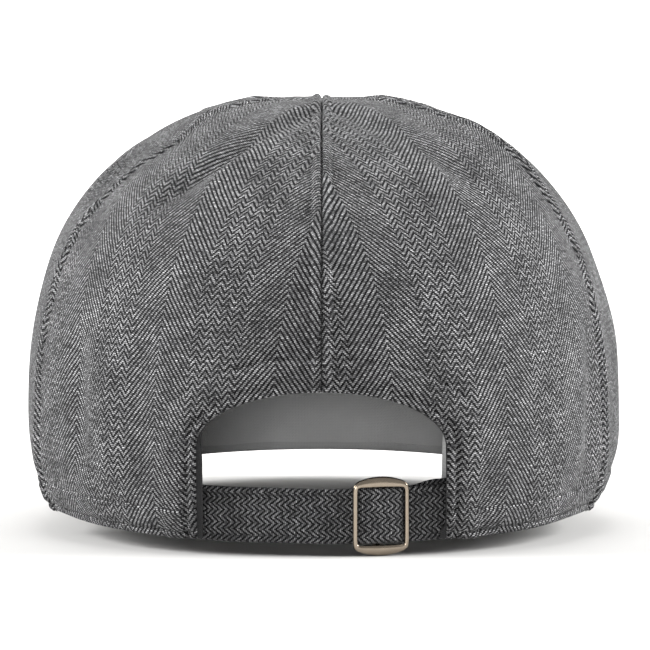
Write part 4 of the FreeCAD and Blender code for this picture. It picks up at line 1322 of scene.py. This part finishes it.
# ------------------------------------------------------------------ visor and button
@dataclass
class Visor:
    """Cloth covered board of the visor."""

    inset: float = 1.6
    rows: int = 56
    stitch_rows: int = 7

    def plan(self, inwards: np.ndarray) -> np.ndarray:
        """Points of the visor's plan.

        Args:
            inwards: Share of the way from the outer edge to the crown at each row.

        Returns:
            Array of rows by columns of x and y.
        """
        edge = VISOR.edge(FORM, 200)
        steps = np.linalg.norm(np.diff(edge, axis=0), axis=1)
        share = np.concatenate([[0.0], np.cumsum(steps)])
        share /= share[-1]
        even = np.linspace(0.0, 1.0, 260)
        edge = np.stack([np.interp(even, share, edge[:, axis]) for axis in (0, 1)], axis=-1)
        half_width = VISOR.end_width(FORM)
        first = math.degrees(math.atan2(half_width, VISOR.end))
        turn = first + (360.0 - 2 * first) * even
        root = rim_oval(turn, np.full(turn.shape, self.inset))[:, :2]
        return edge[None] + (root - edge)[None] * inwards[:, None, None]

    def surface(self, plan: np.ndarray, depth: np.ndarray) -> np.ndarray:
        """Points of the visor below its upper face."""
        height = VISOR.height(FORM, plan[..., 0], plan[..., 1], 0.0) - depth
        return np.concatenate([plan, height[..., None]], axis=-1)

    def cloth(self, name: str, node: str, upper: bool) -> bpy.types.Object:
        """Builds one cloth face, which wraps half of the board's edge.

        Args:
            name: Name of the piece.
            node: Node that it stands for.
            upper: Whether it is the upper face.

        Returns:
            The piece.
        """
        half = VISOR.cloth + VISOR.board / 2
        wrap = np.radians(np.linspace(0.0, 90.0, 9))[:-1]
        flat = np.linspace(0.0, 1.0, self.rows)
        rows = np.concatenate([np.zeros(len(wrap)), flat])
        pull = np.concatenate([half * (1 - np.cos(wrap)), np.full(self.rows, half)])
        sink = np.concatenate([half * (1 - np.sin(wrap)), np.zeros(self.rows)])
        plan = self.plan(rows)
        tangent = np.gradient(plan[0], axis=0)
        tangent /= np.linalg.norm(tangent, axis=1, keepdims=True)
        inward = np.stack([tangent[:, 1], -tangent[:, 0]], axis=-1)
        inward *= np.where((inward * (np.array([0.0, -60.0]) - plan[0])).sum(axis=1) < 0, -1, 1
                           )[:, None]
        taper = np.concatenate([np.ones(len(wrap)), 1 - flat])[:, None, None]
        plan = plan + inward[None] * pull[:, None, None] * taper
        if upper:
            depth = np.broadcast_to(sink[:, None], plan.shape[:2])
        else:
            depth = 2 * half - np.broadcast_to(sink[:, None], plan.shape[:2])
        row_gap = np.linalg.norm(plan - plan[:1], axis=-1)
        ripple = sum(bump(row_gap - place, 0.5) for place in self.row_places())
        dent = (0.22 * ripple) * (1 if upper else -1)
        outer = self.surface(plan, depth + dent)
        toward = np.concatenate([inward * (VISOR.cloth - 0.1), np.zeros((len(inward), 1))], axis=1)
        share = np.concatenate([np.cos(wrap), np.zeros(self.rows)])[:, None, None]
        drop = np.concatenate([np.sin(wrap), np.ones(self.rows)])[:, None, None]
        step = toward[None] * share
        step = step + np.array([0, 0, -1.0 if upper else 1.0]) * drop * (VISOR.cloth - 0.1)
        faces = grid_faces(*plan.shape[:2])
        laid = plan.copy()
        unrolled = half * (math.pi / 2 - wrap)[:, None, None]
        laid[:len(wrap)] = (plan[len(wrap)] - inward * unrolled)
        draft = Draft(outer.reshape(-1, 3), faces if not upper else faces[:, ::-1],
                      laid.reshape(-1, 2) * MM)
        piece = draft.shelled((outer + step).reshape(-1, 3)).piece(name, Finish.TWEED.material())
        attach(piece, "cap")
        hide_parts(node)
        return piece

    def row_places(self) -> list[float]:
        """Distances of the stitch rows from the edge."""
        return [4.0 + 7.0 * index for index in range(self.stitch_rows)]

    def board(self) -> bpy.types.Object:
        """Builds the board inside the cloth."""
        rows = np.linspace(0.0, 1.0, 12)
        plan = self.plan(rows)
        middle = plan + (np.array([0.0, -60.0]) - plan) * 0.025
        top = self.surface(middle, np.full(middle.shape[:2], VISOR.cloth + 0.05))
        low = self.surface(middle, np.full(middle.shape[:2], VISOR.cloth + VISOR.board - 0.05))
        draft = Draft(top.reshape(-1, 3), grid_faces(*middle.shape[:2])[:, ::-1],
                      middle.reshape(-1, 2) * MM)
        piece = draft.shelled(low.reshape(-1, 3)).piece("visor_board_core", Finish.BOARD.material())
        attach(piece, "cap")
        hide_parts("visor_board")
        return piece

    def stitch_lines(self) -> list[np.ndarray]:
        """Lines of the stitch rows on both faces."""
        edge = self.plan(np.array([0.0, 1.0]))
        span = np.linalg.norm(edge[1] - edge[0], axis=1)
        lines = []
        for place in self.row_places():
            share = place / np.maximum(span, 1e-3)
            keep = share < 0.93
            plan = edge[0] + (edge[1] - edge[0]) * share[:, None]
            for depth in (0.15, 2 * VISOR.cloth + VISOR.board - 0.15):
                line = self.surface(plan, np.full(len(plan), depth))[keep]
                if len(line) > 2:
                    lines.append(line)
        return lines

    def build(self) -> list[bpy.types.Object]:
        """Builds the visor's pieces."""
        return [self.cloth("visor_top", "visor_top_cloth", True),
                self.cloth("visor_under", "visor_bottom_cloth", False), self.board()]


@dataclass
class TopButton:
    """Cloth covered button on the apex."""

    radius: float = 8.5
    height: float = 2.3
    base: float = 116.1

    def build(self) -> bpy.types.Object:
        """Builds the button's cloth."""
        turn = np.radians(np.linspace(-24.0, 90.0, 22))[:, None]
        around = np.radians(np.arange(0.0, 360.0, 6.0))[None]
        radius = self.radius * np.maximum(np.cos(turn), 0.004) ** 0.75 * np.ones(around.shape)
        height = self.base + 0.55 + (self.height - 0.55) * np.sin(turn) * np.ones(around.shape)
        x, y = radius * np.cos(around), radius * np.sin(around)
        points = np.stack([x, FORM.lean + y, height], axis=-1)
        uv = np.stack([x, y], axis=-1) * MM
        draft = Draft(points.reshape(-1, 3), grid_faces(*x.shape, wrap=True)[:, ::-1],
                      uv.reshape(-1, 2),
                      [list(range(60))[::-1], list(range(21 * 60, 22 * 60))])
        piece = draft.piece("top_button", Finish.TWEED.material())
        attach(piece, "cap")
        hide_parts("button_cover")
        return piece


# ------------------------------------------------------------------ strap and buckle
@dataclass
class StrapStack:
    """Adjustment strap, its short anchor and the slide buckle."""

    width: float = 15.4
    strap_out: float = 73.95
    strap_thick: float = 1.8
    strap_turns: tuple[float, float] = (-42.0, 50.0)
    anchor_out: float = 71.9
    anchor_thick: float = 1.6
    anchor_turn: float = 54.0
    anchor_width: float = 15.0
    buckle_turn: float = 12.6
    bar_place: float = 70.05
    bar_radius: float = 0.8
    face_place: float = 4.65
    half_width: float = 7.9
    corner: float = 9.1
    crest: float = 11.0
    window: tuple[float, float] = (6.65, 7.95)
    frame_thick: float = 1.6
    anchor_lift: float = 1.6
    rail_points: int = 26
    rounding: float = 0.294
    lug_place: float = 8.52

    def arc(self, turns: np.ndarray, radius: np.ndarray, height: np.ndarray
            ) -> tuple[np.ndarray, np.ndarray, np.ndarray]:
        """Points and directions about the rear arc's centre.

        Args:
            turns: Angles to the right of the rear, in degrees.
            radius: Distance from the centre.
            height: Height above the rim.

        Returns:
            Points, outward directions and upward directions.
        """
        angle = np.radians(turns)
        outs = np.stack([-np.sin(angle), np.cos(angle), np.zeros(angle.shape)], axis=-1)
        ups = np.broadcast_to(np.array([0.0, 0.0, 1.0]), outs.shape)
        centre = np.array([0.0, FORM.rear_centre, 0.0])
        return centre + outs * radius[..., None] + ups * height[..., None], outs, ups

    def band(self, name: str, turns: np.ndarray, radius: np.ndarray, height: np.ndarray,
             section: np.ndarray) -> bpy.types.Object:
        """Builds a band of folded tweed."""
        draft = swept(*self.arc(turns, radius, height), section)
        return draft.piece(name, Finish.STRAP.material())

    def pillow(self, section: np.ndarray, seam: float, dip: float) -> np.ndarray:
        """Section of a folded band with a row of stitches pressed in near each edge."""
        shaped = section.copy()
        edge = self.width / 2 - seam
        sink = dip * bump(np.abs(section[:, 1]) - edge, 0.6)
        shaped[:, 0] -= np.sign(section[:, 0]) * sink * (np.abs(section[:, 0]) > 0.5)
        return shaped

    def strap(self) -> bpy.types.Object:
        """Builds the long strap."""
        turns = np.linspace(*self.strap_turns, 190)
        middle = self.strap_out - self.strap_thick / 2
        along = np.radians(turns) * middle
        near = bump(turns - self.buckle_turn, 9.0)
        radius = middle + 0.10 * waves(along, 28.0, 51)
        height = self.width / 2 + 0.15 * waves(along, 44.0, 52) * (1 - near)
        section = self.pillow(band_section(self.strap_thick, self.width, 34, 7), 1.9, 0.28)
        piece = self.band("strap_band", turns, radius, height, section)
        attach(piece, "cap")
        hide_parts("adjustment_strap")
        return piece

    def anchor(self) -> bpy.types.Object:
        """Builds the short anchor that holds the buckle's bar."""
        turns = np.linspace(self.buckle_turn - 1.2, self.anchor_turn, 110)
        middle = self.anchor_out - self.anchor_thick / 2
        share = smooth_step(turns, self.buckle_turn + 6.0, self.buckle_turn + 14.0)
        radius = np.full(turns.shape, middle)
        height = self.width / 2 + self.anchor_lift * share
        section = self.pillow(band_section(self.anchor_thick, self.anchor_width, 34, 7), 1.9, 0.2)
        piece = self.band("anchor_band", turns, radius, height, section)
        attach(piece, "strap_loop")
        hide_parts("buckle_loop")
        return piece

    def window_cloth(self) -> bpy.types.Object:
        """Builds the fold of strap that swells in the buckle's window."""
        across, up = np.meshgrid(np.linspace(-1.0, 1.0, 40), np.linspace(-1.0, 1.0, 44),
                                 indexing="ij")
        swell = (1 - np.abs(across) ** 3.0) ** 0.6 * (1 - np.abs(up) ** 8.0) ** 0.5
        turns = self.buckle_turn + np.degrees(across * (self.window[0] - 0.1) / 75.0)
        height = self.width / 2 + up * (self.window[1] - 0.25)
        low = self.strap_out + 0.12
        front, _, _ = self.arc(turns, low + 0.08 + 1.95 * swell, height)
        back, _, _ = self.arc(turns, np.full(turns.shape, low), height)
        uv = np.stack([height + 0.9, across * self.window[0] + 44.0], axis=-1) * MM
        draft = Draft(front.reshape(-1, 3), grid_faces(*turns.shape), uv.reshape(-1, 2))
        piece = draft.shelled(back.reshape(-1, 3)).piece("buckle_fold", Finish.STRAP.material())
        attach(piece, "strap_loop")
        return piece

    def frame_loop(self, half: tuple[float, float], rise: float, radius: float) -> np.ndarray:
        """Outline of the buckle's frame or of its window.

        Args:
            half: Half width and half height at the corners.
            rise: How far the upper and lower rails bow out past the corners.
            radius: How far from the corners their rounding starts.

        Returns:
            Points round the outline.
        """
        wide, high = half
        x = np.linspace(wide, -wide, self.rail_points)
        y = np.linspace(high, -high, self.rail_points)[1:-1]
        bow = np.full(len(x), high)
        if rise > 0.0:
            bend = (wide ** 2 + rise ** 2) / (2 * rise)
            bow = np.sqrt(bend ** 2 - x ** 2) + high + rise - bend
        top = np.stack([x, bow], axis=-1)
        left = np.stack([np.full(len(y), -wide), y], axis=-1)
        loop = np.concatenate([top, left, -top, -left])
        for sign_x in (1, -1):
            for sign_y in (1, -1):
                corner = np.array([sign_x * wide, sign_y * high])
                gap = np.linalg.norm(loop - corner, axis=1)
                pull = np.clip(1 - gap / (2 * radius), 0, 1) ** 2 * self.rounding * radius
                loop += -np.sign(corner) * pull[:, None]
        return loop

    def frame(self) -> Draft:
        """Builds the buckle's frame: two crescents and two side bars round the window."""
        outer = self.frame_loop((self.half_width, self.corner), self.crest - self.corner, 1.1)
        inner = self.frame_loop(self.window, 0.0, 0.7)
        turn = np.radians(np.linspace(0, 360, 17)[:-1])
        share = 0.5 + 0.5 * np.sign(np.cos(turn)) * np.abs(np.cos(turn)) ** 0.8
        rise = np.sign(np.sin(turn)) * np.abs(np.sin(turn)) ** 0.75
        flat = inner[:, None] + (outer - inner)[:, None] * share[None, :, None]
        width = np.linalg.norm(outer - inner, axis=1)
        dish = 0.35 * smooth_step(width, 1.4, 3.0)[:, None] * share[None] ** 2
        depth = self.face_place + rise[None] * self.frame_thick / 2 * np.ones((len(flat), 1)) - dish
        local = np.concatenate([flat, depth[..., None]], axis=-1)
        last = (len(flat) - 1) * len(turn)
        step = np.arange(len(turn))
        after = (step + 1) % len(turn)
        closing = np.stack([last + step, step, after, last + after], axis=-1)
        faces = np.concatenate([grid_faces(len(flat), len(turn), wrap=True), closing])
        return Draft(local.reshape(-1, 3), faces, local.reshape(-1, 3)[:, :2] * MM)

    def bar(self) -> Draft:
        """Builds the buckle's centre bar, which runs up between the lugs."""
        around = np.radians(np.arange(0, 360, 22.5))
        path = np.linspace(-self.corner + 0.15, self.corner - 0.15, 12)[:, None]
        rings = np.broadcast_arrays(self.bar_radius * np.cos(around), path,
                                    self.bar_radius * np.sin(around))
        return tube(np.stack(rings, axis=-1), inward=True)

    def lug(self, place: float) -> Draft:
        """Builds a lug that carries the centre bar on the frame, at a height on the buckle."""
        side, cut, half = 1.15, 0.95, (0.5, 0.56)
        loop = np.array([[side, 0.0], [side, half[0]], [cut, half[1]], [-cut, half[1]],
                         [-side, half[0]], [-side, -half[0]], [-cut, -half[1]],
                         [cut, -half[1]], [side, -half[0]]])
        steps = np.linspace(-self.bar_radius, self.face_place, 6)[:, None]
        return tube(np.stack(np.broadcast_arrays(loop[:, 0], loop[:, 1] + place, steps), axis=-1))

    def buckle(self) -> bpy.types.Object:
        """Builds the cast buckle: its frame, centre bar and lugs."""
        draft = self.frame().joined(self.bar())
        for sign in (1, -1):
            draft = draft.joined(self.lug(sign * self.lug_place))
        origin, outs, ups = self.arc(np.array(self.buckle_turn), np.array(self.bar_place),
                                     np.array(self.width / 2))
        right = np.cross(ups, outs)
        local = draft.points
        draft.points = (origin + local[:, :1] * right + local[:, 1:2] * ups
                        + local[:, 2:] * outs)
        piece = draft.piece("buckle_casting", Finish.BUCKLE.material(), 60.0)
        fix_normals(piece)
        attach(piece, "buckle")
        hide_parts("slide_buckle")
        return piece

    def stitch_lines(self) -> tuple[list[np.ndarray], list[np.ndarray]]:
        """Stitch rows of the strap and of the anchor."""
        strap, anchor = [], []
        for sign in (1, -1):
            turns = np.linspace(self.strap_turns[0] + 1, self.strap_turns[1] - 1, 120)
            height = np.full(turns.shape, self.width / 2 + sign * (self.width / 2 - 1.9))
            radius = np.full(turns.shape, self.strap_out - 0.18)
            strap.append(self.arc(turns, radius, height)[0])
            turns = np.linspace(self.buckle_turn + 8, self.anchor_turn - 1, 60)
            lift = self.anchor_lift * smooth_step(turns, self.buckle_turn + 6,
                                                  self.buckle_turn + 14)
            height = lift + self.width / 2 + sign * (self.anchor_width / 2 - 1.9)
            anchor.append(self.arc(turns, np.full(turns.shape, self.anchor_out - 0.1), height)[0])
        return strap, anchor

    def build(self) -> list[bpy.types.Object]:
        """Builds the strap's pieces."""
        return [self.strap(), self.anchor(), self.window_cloth(), self.buckle()]


def fix_normals(piece: bpy.types.Object) -> None:
    """Turns each closed shell of a piece's faces outward."""
    mesh = bmesh.new()
    mesh.from_mesh(piece.data)
    bmesh.ops.recalc_face_normals(mesh, faces=mesh.faces)
    mesh.to_mesh(piece.data)
    mesh.free()


# ------------------------------------------------------------------ stitches
def stitch_tree() -> bpy.types.NodeTree:
    """Builds the modifier tree that lays stitches along lines of edges."""
    tree = bpy.data.node_groups.new("stitches", "GeometryNodeTree")
    face = tree.interface
    face.new_socket("Lines", in_out="INPUT", socket_type="NodeSocketGeometry")
    for label, value in (("Pitch", 0.0028), ("Length", 0.0022), ("Radius", 0.0002)):
        socket = face.new_socket(label, in_out="INPUT", socket_type=FLOAT)
        socket.default_value = value
    socket = face.new_socket("Seed", in_out="INPUT", socket_type="NodeSocketInt")
    socket.default_value = 7
    face.new_socket("Thread", in_out="INPUT", socket_type="NodeSocketMaterial")
    face.new_socket("Stitches", in_out="OUTPUT", socket_type="NodeSocketGeometry")
    graph = Graph(tree)
    given, result = graph.node("NodeGroupInput"), graph.node("NodeGroupOutput")
    curve = graph.node("GeometryNodeMeshToCurve")
    graph.feed(curve.inputs["Mesh"], given.outputs["Lines"])
    points = graph.node("GeometryNodeCurveToPoints", mode="LENGTH")
    graph.feed(points.inputs["Curve"], curve.outputs["Curve"])
    graph.feed(points.inputs["Length"], given.outputs["Pitch"])
    ball = graph.node("GeometryNodeMeshUVSphere")
    ball.inputs["Segments"].default_value = 6
    ball.inputs["Rings"].default_value = 5
    ball.inputs["Radius"].default_value = 1.0
    half = graph.math("MULTIPLY", given.outputs["Length"], 0.5)
    radius = given.outputs["Radius"]
    size = graph.combine(radius, radius, half)
    shape = graph.node("GeometryNodeTransform")
    graph.feed(shape.inputs["Geometry"], ball.outputs["Mesh"])
    graph.feed(shape.inputs["Scale"], size)
    put = graph.node("GeometryNodeInstanceOnPoints")
    graph.feed(put.inputs["Points"], points.outputs["Points"])
    graph.feed(put.inputs["Instance"], shape.outputs["Geometry"])
    graph.feed(put.inputs["Rotation"], points.outputs["Rotation"])
    chance = graph.node("FunctionNodeRandomValue", data_type="FLOAT_VECTOR")
    chance.inputs[0].default_value = (-0.09, -0.09, 0.0)
    chance.inputs[1].default_value = (0.09, 0.09, 0.0)
    graph.feed(chance.inputs["Seed"], given.outputs["Seed"])
    turn = graph.node("GeometryNodeRotateInstances")
    graph.feed(turn.inputs["Instances"], put.outputs["Instances"])
    graph.feed(turn.inputs["Rotation"], chance.outputs[0])
    real = graph.node("GeometryNodeRealizeInstances")
    graph.feed(real.inputs["Geometry"], turn.outputs["Instances"])
    dress = graph.node("GeometryNodeSetMaterial")
    graph.feed(dress.inputs["Geometry"], real.outputs["Geometry"])
    graph.feed(dress.inputs["Material"], given.outputs["Thread"])
    graph.feed(result.inputs["Stitches"], dress.outputs["Geometry"])
    return tree


@dataclass
class Stitching:
    """Stitches along lines, one mesh for each body."""

    name: str
    body: str
    slot: str
    lines: list[np.ndarray]
    pitch: float = 2.8
    length: float = 2.3
    radius: float = 0.2
    seed: int = 7

    def build(self) -> bpy.types.Object:
        """Builds the stitches."""
        mesh = bpy.data.meshes.new(f"{self.name}_lines")
        points = np.concatenate(self.lines)
        edges, first = [], 0
        for line in self.lines:
            edges += [(first + i, first + i + 1) for i in range(len(line) - 1)]
            first += len(line)
        mesh.from_pydata(to_row(points).tolist(), edges, [])
        guide = bpy.data.objects.new(f"{self.name}_guide", mesh)
        bpy.context.collection.objects.link(guide)
        modifier = guide.modifiers.new("stitches", "NODES")
        tree = bpy.data.node_groups.get("stitches") or stitch_tree()
        modifier.node_group = tree
        values = {"Pitch": self.pitch * MM, "Length": self.length * MM,
                  "Radius": self.radius * MM, "Seed": self.seed,
                  "Thread": Finish.THREAD.material()}
        for item in tree.interface.items_tree:
            if item.in_out == "INPUT" and item.name in values:
                modifier[item.identifier] = values[item.name]
        graph = bpy.context.evaluated_depsgraph_get()
        made = bpy.data.meshes.new_from_object(guide.evaluated_get(graph))
        bpy.data.objects.remove(guide)
        made.shade_smooth()
        piece = bpy.data.objects.new(self.name, made)
        bpy.context.collection.objects.link(piece)
        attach(piece, self.body)
        return piece


def crown_lines() -> list[np.ndarray]:
    """Stitch rows of the crown's seams and hems."""
    lines = []
    lift = 0.28
    for seam in (0.0, 60.0, -60.0, 120.0, -120.0, 180.0):
        for sign in (1, -1):
            share = np.linspace(-0.98, 0.93, 500)
            at_seam = FORM.point(np.full(share.shape, seam), share)
            radius = np.hypot(at_seam[:, 0], at_seam[:, 1] - FORM.lean)
            turn = seam + sign * np.degrees(np.arcsin(CROWN.topstitch / radius))
            points = FORM.point(turn, share)
            over = VISOR.height(FORM, points[:, 0], points[:, 1], 0.0)
            floor = np.where(points[:, 1] < VISOR.end, over, 0.0)
            keep = (ARCH.distance(points) > 1.0) & (points[:, 2] > floor + 0.8)
            lines.append(CROWN.place(turn, share, lift)[keep])
    for row in CROWN.hem_rows:
        turn, share = ARCH.outline(FORM, row, 140)
        keep = FORM.point(turn, share)[:, 2] > row
        lines.append(CROWN.place(turn, share, lift)[keep])
        for side in (1, -1):
            share_row = float(FORM.share_at(row))
            first = float(FORM.turn_at(np.array(ARCH.half_width + row), np.array(share_row)))
            turn = side * np.linspace(first, 112.0, 260)
            share = np.full(turn.shape, share_row)
            points = FORM.point(turn, share)
            over = VISOR.height(FORM, points[:, 0], points[:, 1], 0.0)
            keep = (points[:, 1] > VISOR.end) | (points[:, 2] > over + 0.8)
            lines.append(CROWN.place(turn, share, lift)[keep])
    return lines


# ------------------------------------------------------------------ stage
@dataclass(frozen=True)
class Lamp:
    """A round area light: its place and size in metres and its power in watts."""

    name: str
    place: tuple[float, float, float]
    size: float
    power: float
    target: tuple[float, float, float] | None = None


LAMPS = (
    Lamp("front", (0.1, 2.4, 0.17), 0.3, 12.5),
    Lamp("left", (1.7, 0.0, 0.8), 1.0, 74.0),
    Lamp("right", (-1.7, 0.0, 0.8), 1.0, 76.0),
    Lamp("top", (0.0, 0.1, 1.8), 1.0, 14.0),
    Lamp("backdrop", (0.0, -2.0, 2.8), 2.0, 420.0, (0.0, -4.5, 1.0)),
)


@dataclass
class Stage:
    """Floor, lights and camera."""

    elevation: float = 2.2926
    distance: float = 1.1063
    target: Vector = Vector((0.0, 0.0, 0.055))
    lens: float = 203.6
    shift: tuple[float, float] = (0.0051, -0.0228)
    world: tuple[float, float] = (0.4, 1.0)

    def floor(self) -> bpy.types.Object:
        """Builds a pale floor that bends up into a backdrop."""
        level = CAD_BOX[0].z
        run = np.concatenate([[4.0], np.linspace(-1.5, -3.0, 2)])
        bend = np.radians(np.linspace(0, 90, 13))[1:]
        y = np.concatenate([run, -3.0 - 1.5 * np.sin(bend), [-4.5]])
        z = np.concatenate([[0.0, 0.0, 0.0], 1.5 * (1 - np.cos(bend)), [6.0]]) + level
        verts = [(x, y[i], z[i]) for i in range(len(y)) for x in (-6.0, 6.0)]
        faces = [(2 * i, 2 * i + 1, 2 * i + 3, 2 * i + 2) for i in range(len(y) - 1)]
        mesh = bpy.data.meshes.new("floor")
        mesh.from_pydata(verts, [], faces)
        mesh.shade_smooth()
        mesh.materials.append(Finish.FLOOR.material())
        floor = bpy.data.objects.new("floor", mesh)
        bpy.context.collection.objects.link(floor)
        return floor

    def light(self, lamp: Lamp) -> None:
        """Adds an area light that faces the cap, or a target of its own."""
        data = bpy.data.lights.new(lamp.name, "AREA")
        data.shape, data.size, data.energy = "DISK", lamp.size, lamp.power
        made = bpy.data.objects.new(lamp.name, data)
        made.location = lamp.place
        aim = Vector(lamp.target or self.target) - Vector(lamp.place)
        made.rotation_euler = aim.to_track_quat("-Z", "Y").to_euler()
        bpy.context.collection.objects.link(made)

    def camera(self) -> None:
        """Adds the camera."""
        data = bpy.data.cameras.new("camera")
        data.lens, data.sensor_width = self.lens, 36.0
        data.shift_x, data.shift_y = self.shift
        camera = bpy.data.objects.new("camera", data)
        lift = math.radians(self.elevation)
        camera.location = self.target + self.distance * Vector((0, math.cos(lift), math.sin(lift)))
        aim = self.target - camera.location
        camera.rotation_euler = aim.to_track_quat("-Z", "Y").to_euler()
        bpy.context.collection.objects.link(camera)
        bpy.context.scene.camera = camera

    def build(self) -> None:
        """Builds the stage."""
        self.floor()
        for lamp in LAMPS:
            self.light(lamp)
        world = bpy.data.worlds.new("studio")
        bpy.context.scene.world = world
        world.use_nodes = True
        graph = Graph(world.node_tree)
        seen = graph.node("ShaderNodeLightPath").outputs["Is Camera Ray"]
        back = world.node_tree.nodes["Background"]
        back.inputs["Color"].default_value = (1.0, 1.0, 1.0, 1.0)
        low, high = self.world
        graph.feed(back.inputs["Strength"], graph.math("MULTIPLY_ADD", seen, high - low, low))
        bpy.context.scene.view_settings.view_transform = "Standard"
        self.camera()


def dress_metal() -> None:
    """Gives the metal parts of the button their material."""
    for name in ("button_shell", "button_post"):
        node = frame["nodes"][name]
        node.data.materials.clear()
        node.data.materials.append(Finish.STEEL.material())


def main() -> None:
    """Builds the cap and its stage."""
    logging.basicConfig(level=logging.INFO, format="%(message)s")
    pieces = []
    for side, label in ((1, "left"), (-1, "right")):
        back_shift, side_shift = (20.0, 4.0) if side > 0 else (7.0, 2.0)
        for name, turns, middle, shift in (("back", (0.0, 60.0), 30.0, back_shift),
                                           ("side", (60.0, 120.0), 90.0, side_shift),
                                           ("front", (120.0, 180.0), 150.0, 0.0)):
            panel = CrownPanel(f"{name}_panel_{label}", side, turns, middle, shift)
            pieces.append(panel.build())
    pieces += Linings().build()
    pieces += Sweatband().build()
    visor, strap = Visor(), StrapStack()
    pieces += visor.build()
    pieces.append(TopButton().build())
    pieces += strap.build()
    strap_lines, anchor_lines = strap.stitch_lines()
    for stitching in (Stitching("crown_stitches", "cap", "tape", crown_lines()),
                      Stitching("visor_stitches", "cap", "tape", visor.stitch_lines(), seed=8),
                      Stitching("strap_stitches", "cap", "tape", strap_lines, 2.4, 1.9, 0.17, 9),
                      Stitching("anchor_stitches", "strap_loop", "tape", anchor_lines,
                                2.4, 1.9, 0.17, 10)):
        pieces.append(stitching.build())
    dress_metal()
    Stage().build()
    for piece in pieces:
        log.info("%s: %d faces", piece.name, len(piece.data.polygons))


if __name__ == "__main__":
    main()
